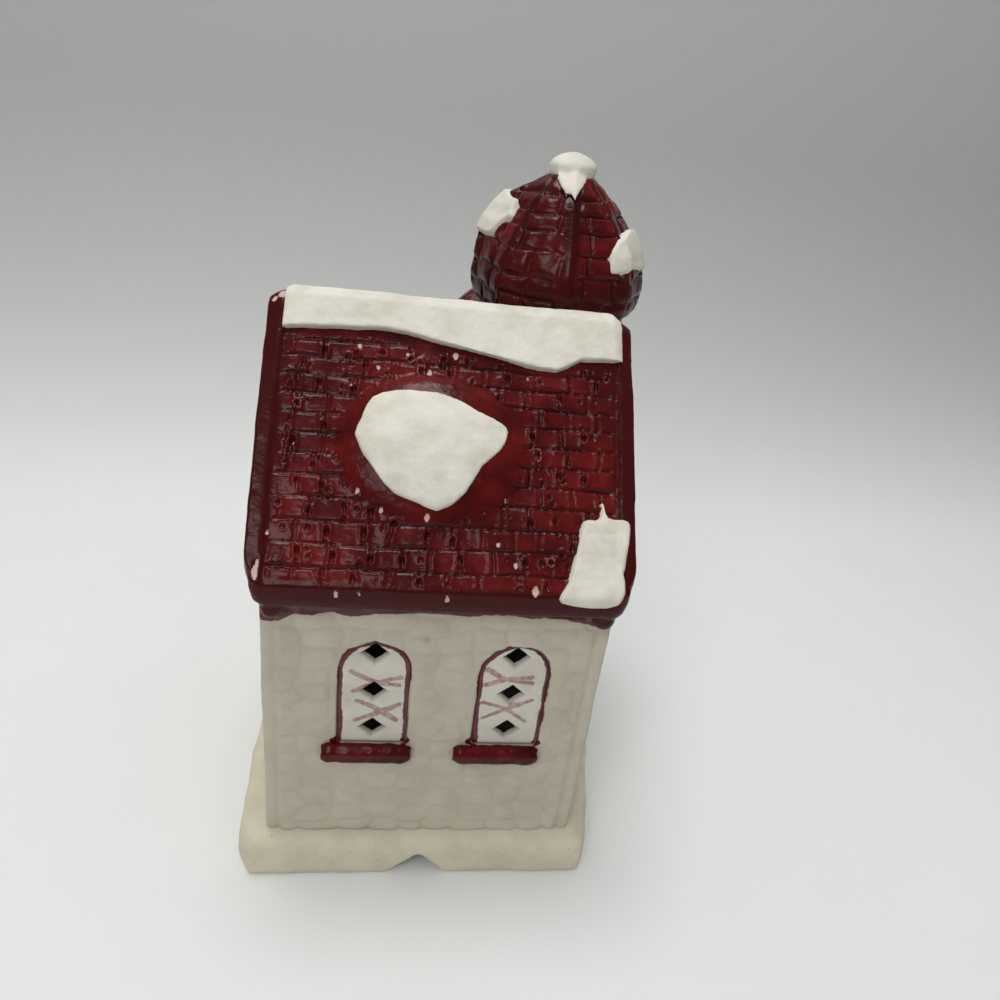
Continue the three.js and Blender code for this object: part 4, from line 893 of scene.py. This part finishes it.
def wallRelief(points, normals):
    height, groove = np.zeros(len(points)), np.zeros(len(points))
    paint, cross = np.full(len(points), -9.0), np.full(len(points), -9.0)
    sizes = (walls["halfWidth"], walls["halfDepth"])
    for axis, side in [(1, -1), (1, 1), (0, -1), (0, 1)]:
        along, half = points[:, 1 - axis], sizes[1 - axis]
        square = smooth(0.6, 0.8, normals[:, axis] * side)
        outer = smooth(-1.2, -0.6, points[:, axis] * side - sizes[axis])
        bed = square * outer * smooth(0, 1.2, half - walls["corner"] - abs(along))
        if axis == 1 and side == -1:
            for x, foot, width in windowZones:
                away = np.hypot(along - x, points[:, 2] - np.clip(points[:, 2], foot, 52))
                bed = bed * smooth(-0.3, 1.2, away - width)
        on = np.nonzero(bed > 0.01)[0]
        relief, seams = stones(along[on] + 100 * side, points[on, 2], 70 + axis * 4 + side)
        height[on] += relief * bed[on]
        groove[on] = np.maximum(groove[on], seams * bed[on])
        # Plain strips down the corners
        strip = square * outer * lump(abs(along) - (half - 2.5), 0.4)
        height -= walls["cornerGroove"] * strip
        groove = np.maximum(groove, 0.5 * strip)
    back = np.nonzero((points[:, 1] < -34.5) & (normals[:, 1] < -0.2))[0]
    flat = points[back][:, [0, 2]]
    height[back] += 0.7 * smooth(0, 0.5, boss[2] - np.hypot(flat[:, 0] - boss[0], flat[:, 1] - boss[1]))
    brush = 0.2 * softNoise(flat, 3, 79)
    wobble = 0.3 * np.stack([softNoise(flat, 7, 75), softNoise(flat, 7, 76)], 1)
    for middle in arch["middles"]:
        paint[back] = np.maximum(paint[back], 0.55 + brush - lineDistance(flat + wobble, archLine(middle)))
    height[back] += 0.14 * smooth(-0.2, 0.4, paint[back])
    for x, z in footDabs:
        dab = 1.1 + brush - np.hypot(flat[:, 0] - x, (flat[:, 1] - z) * 1.3)
        paint[back] = np.maximum(paint[back], dab)
    for line in crossPaint:
        cross[back] = np.maximum(cross[back], 0.48 + brush - lineDistance(flat, curved(line)))
    paint[back] = np.maximum(paint[back], flat[:, 1] - alongLine(flat[:, 0], bandPaint))
    flank = np.nonzero(abs(points[:, 0]) > 31.5)[0]
    band = points[flank, 2] - underRoof(points[flank, 1]) + 3 + 0.5 * softNoise(points[flank], 4, 77)
    paint[flank] = np.maximum(paint[flank], band)
    return height + ripples(points, wallRipples), {"groove": groove, "paint": paint, "cross": cross}


def towerRelief(points, normals):
    # Stones all round, and no paint
    angle, radius, outward = roundTower(points, normals)
    outside = smooth(0.5, 0.8, outward) * (radius > 12)
    relief, seams = stones(angle * tower["radius"], points[:, 2], 90)
    bare = np.full(len(points), -9.0)
    height = relief * outside + ripples(points, wallRipples)
    return height, {"groove": seams * outside, "paint": bare, "cross": bare}


def paneRelief(points, normals):
    marks = wallRelief(points, normals)[1]
    # Paint on the panes at the back alone
    marks["paint"] = np.where(points[:, 1] < -30, marks["paint"], -9)
    marks["groove"] = np.zeros(len(points))
    # Grown a little, so that the pane fills its opening
    return 0.28 + 0.05 * softNoise(points, 3, 78), marks


firedPiece("walls", ["house_walls"], wallFinish, wallRelief, voxel=0.4, rounds=8,
           sink=(0, 0, -0.35))
firedPiece("tower_walls", ["tower_shaft"], wallFinish, towerRelief, voxel=0.5, rounds=6)
for name in windows:
    firedPiece(name + "_lattice", [name + "_pane"], paneFinish, paneRelief,
               voxel=0.25, rounds=5)


def glazedRelief(points, normals):
    height = ripples(points, [(0.14, 2.6, 81), (0.06, 1, 82)]) - 0.05
    none = np.zeros(len(points))
    return height, {"groove": none + 0.15, "rim": none, "wear": none - 9, "scuff": none}


def ledgeRelief(points, normals):
    # A lumpy bar with rounded ends, with painted shade beneath
    height, marks = glazedRelief(points, normals)
    middle = (points.min(0) + points.max(0)) / 2
    reach = np.linalg.norm((points - middle)[:, :2], axis=1)
    past = np.clip((reach / reach.max() - 0.74) / 0.26, 0, 1)
    height -= 1.5 * (1 - np.sqrt(1 - past * past)) * (0.35 + 0.65 * abs(normals[:, 2]))
    # Painted shade: the glaze darker on the lower half of the bar
    marks["groove"] = marks["groove"] + 0.6 * smooth(0.3, -1, points[:, 2] - middle[2])
    return height * 1.6 + 0.3, marks


for name in windows:
    firedPiece(name + "_ledge", [name + "_sill"], redFinish, ledgeRelief, voxel=0.3, rounds=12)


def plinthRelief(points, normals):
    height = ripples(points, [(0.4, 10, 91), (0.16, 3.4, 92), (0.05, 1.2, 93)]) - 0.1
    # Stains here and there, and painted shade along the foot, where the base meets the floor
    edge = smooth(0.6, 1, abs(softNoise(points, 6, 94)) + (points[:, 2] < 1.6) * 0.5)
    return height, {"edge": edge}


firedPiece("plinth", ["base_plinth"], baseFinish, plinthRelief, voxel=0.5, rounds=18)
firedPiece("entrance_step", ["door_step"], baseFinish, plinthRelief, voxel=0.4, rounds=8)
firedPiece("entrance_hood", ["door_hood"], snowFinish, snowRelief, voxel=0.3, rounds=6)
firedPiece("door", ["front_door"], redFinish, glazedRelief, voxel=0.3, rounds=5)


# The lamp, the bulb and the door's knob keep the frame's shapes, but for a finer skin on the bulb's glass,
# and have finishes of their own

def plainFinish(name, first, second, roughness, metal=0, clear=0):
    stuff = Finish(name)
    mottle = stuff.noise(2, 3).step(0.3, 0.7)
    return stuff.shade(Base_Color=stuff.blend(mottle, first, second), Roughness=mottle * 0.12 + roughness,
                       Metallic=metal, Transmission_Weight=clear,
                       Normal=stuff.bump(stuff.noise(0.4, 3), 0.02))


smallFinishes = {
    "lamp_plastic": plainFinish("ivory plastic", tone(232, 229, 214), tone(222, 218, 201), 0.38),
    "brass": plainFinish("stamped brass", tone(198, 164, 92), tone(176, 140, 72), 0.28, 1),
    "steel": plainFinish("plated steel", tone(196, 198, 200), tone(172, 174, 177), 0.26, 1),
    "black_glass": plainFinish("black glass", tone(18, 18, 20), tone(28, 27, 29), 0.12),
    "clear_glass": plainFinish("clear glass", tone(248, 252, 252), tone(242, 248, 248), 0.01, 0, 1),
    "pad_rubber": plainFinish("pad rubber", tone(38, 38, 38), tone(52, 51, 50), 0.75),
    "tungsten": plainFinish("drawn tungsten", tone(96, 96, 100), tone(120, 120, 124), 0.35, 1),
    "gilt_paint": plainFinish("gilt paint", tone(190, 150, 76), tone(160, 120, 52), 0.4, 0.7),
}
creaseAngle = math.radians(38)


def smoothPart(node, slotName):
    if node == "bulb_glass":
        # Blown glass shows no facets
        mesh = fineSkin([node], voxel=0.2, rounds=16)
    else:
        mesh = frame["nodes"][node].data.copy()
    name, body = node.replace("_", ".") + ".smooth", frame["nodes"][node]["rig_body"]
    piece = addPiece(name, mesh, smallFinishes[slotName], body, [node])
    piece.modifiers.new("creases", "EDGE_SPLIT").split_angle = creaseAngle


for subpart in frame["record"]["subparts"]:
    if subpart["material_slot"] in smallFinishes:
        smoothPart(subpart["node"], subpart["material_slot"])
print("small parts ready")


# Stage

# Metres here
backdrop = {
    "front": -0.75,
    "deep": 0.15,
    "halfWidth": 0.8,
    "curve": 0.15,
    "top": 2.5,
    "steps": 12,
    "floor": tone(241, 242, 240),
    # Painted light: the floor paler in front of the object, where its shadow would fall
    "near": tone(252, 252, 250),
    # Painted shade: the sweep darker towards its upright back
    "far": tone(184, 184, 181),
}


def addBackdrop():
    # A floor that sweeps up behind the object
    deep, curve, side = backdrop["deep"], backdrop["curve"], backdrop["halfWidth"]
    rows = [(backdrop["front"], 0.0), (deep, 0.0)]
    for step in range(1, backdrop["steps"] + 1):
        angle = step / backdrop["steps"] * math.pi / 2
        rows.append((deep + curve * math.sin(angle), curve * (1 - math.cos(angle))))
    rows.append((deep + curve, backdrop["top"]))
    mesh = bpy.data.meshes.new("backdrop")
    points = [(x, y, z) for y, z in rows for x in (-side, side)]
    faces = [(2 * i, 2 * i + 1, 2 * i + 3, 2 * i + 2) for i in range(len(rows) - 1)]
    mesh.from_pydata(points, [], faces)
    mesh.shade_smooth()
    paper = Finish("backdrop paper")
    back = paper.node("ShaderNodeSeparateXYZ", out="Y", Vector=paper.place)
    # Painted light: the floor paler towards the camera
    colour = paper.blend(back.step(-0.06, -0.16), backdrop["floor"], backdrop["near"])
    # Painted shade: the sweep darker as it rises behind the object
    colour = paper.blend(back.step(0.12, 0.33), colour, backdrop["far"])
    colour = paper.blend(paper.noise(40, 3) * 0.08, colour, backdrop["far"])
    mesh.materials.append(paper.shade(Base_Color=colour, Roughness=0.9))
    sweep = bpy.data.objects.new("backdrop", mesh)
    scene.collection.objects.link(sweep)


addBackdrop()

lights = {
    "key": {"place": (-0.06, 0.05, 0.8), "size": 0.28, "watts": 1.9},
    "soft": {"place": (0.0, 0.0, 0.75), "size": 1.3, "watts": 3.15},
    "front": {"place": (-0.22, -0.5, 0.55), "size": 0.35, "watts": 1.3},
    "aim": (0, 0, 0.07),
    "sky": 0.13,
    "shown": 0.34,
    "gleam": 0.1,
}


def addLight(name, place, size, watts):
    data = bpy.data.lights.new(name, "AREA")
    data.shape, data.size, data.energy = "DISK", size, watts
    lamp = bpy.data.objects.new(name, data)
    lamp.location = place
    facing = Vector(lights["aim"]) - Vector(place)
    lamp.rotation_euler = facing.to_track_quat("-Z", "Y").to_euler()
    scene.collection.objects.link(lamp)
    return lamp


def addWorld():
    world = bpy.data.worlds.new("room")
    world.use_nodes = True
    nodes, links = world.node_tree.nodes, world.node_tree.links
    room = nodes["Background"]
    room.inputs["Color"].default_value = (0.9, 0.95, 1, 1)
    # The camera and clear glass see a paler room than the one that lights the object
    rays = nodes.new("ShaderNodeLightPath")
    target = room.inputs["Strength"]
    for ray, share in {"Glossy": "gleam", "Transmission": "shown", "Camera": "shown"}.items():
        total = nodes.new("ShaderNodeMath")
        total.operation = "MULTIPLY_ADD"
        links.new(rays.outputs[f"Is {ray} Ray"], total.inputs[0])
        total.inputs[1].default_value = lights[share]
        links.new(total.outputs[0], target)
        target = total.inputs[2]
    target.default_value = lights["sky"]
    scene.world = world


addLight("key light", **lights["key"])
# Only the small lights gleam on the glaze
addLight("soft light", **lights["soft"]).visible_glossy = False
addLight("front light", **lights["front"])
addWorld()
print("stage and lights ready")
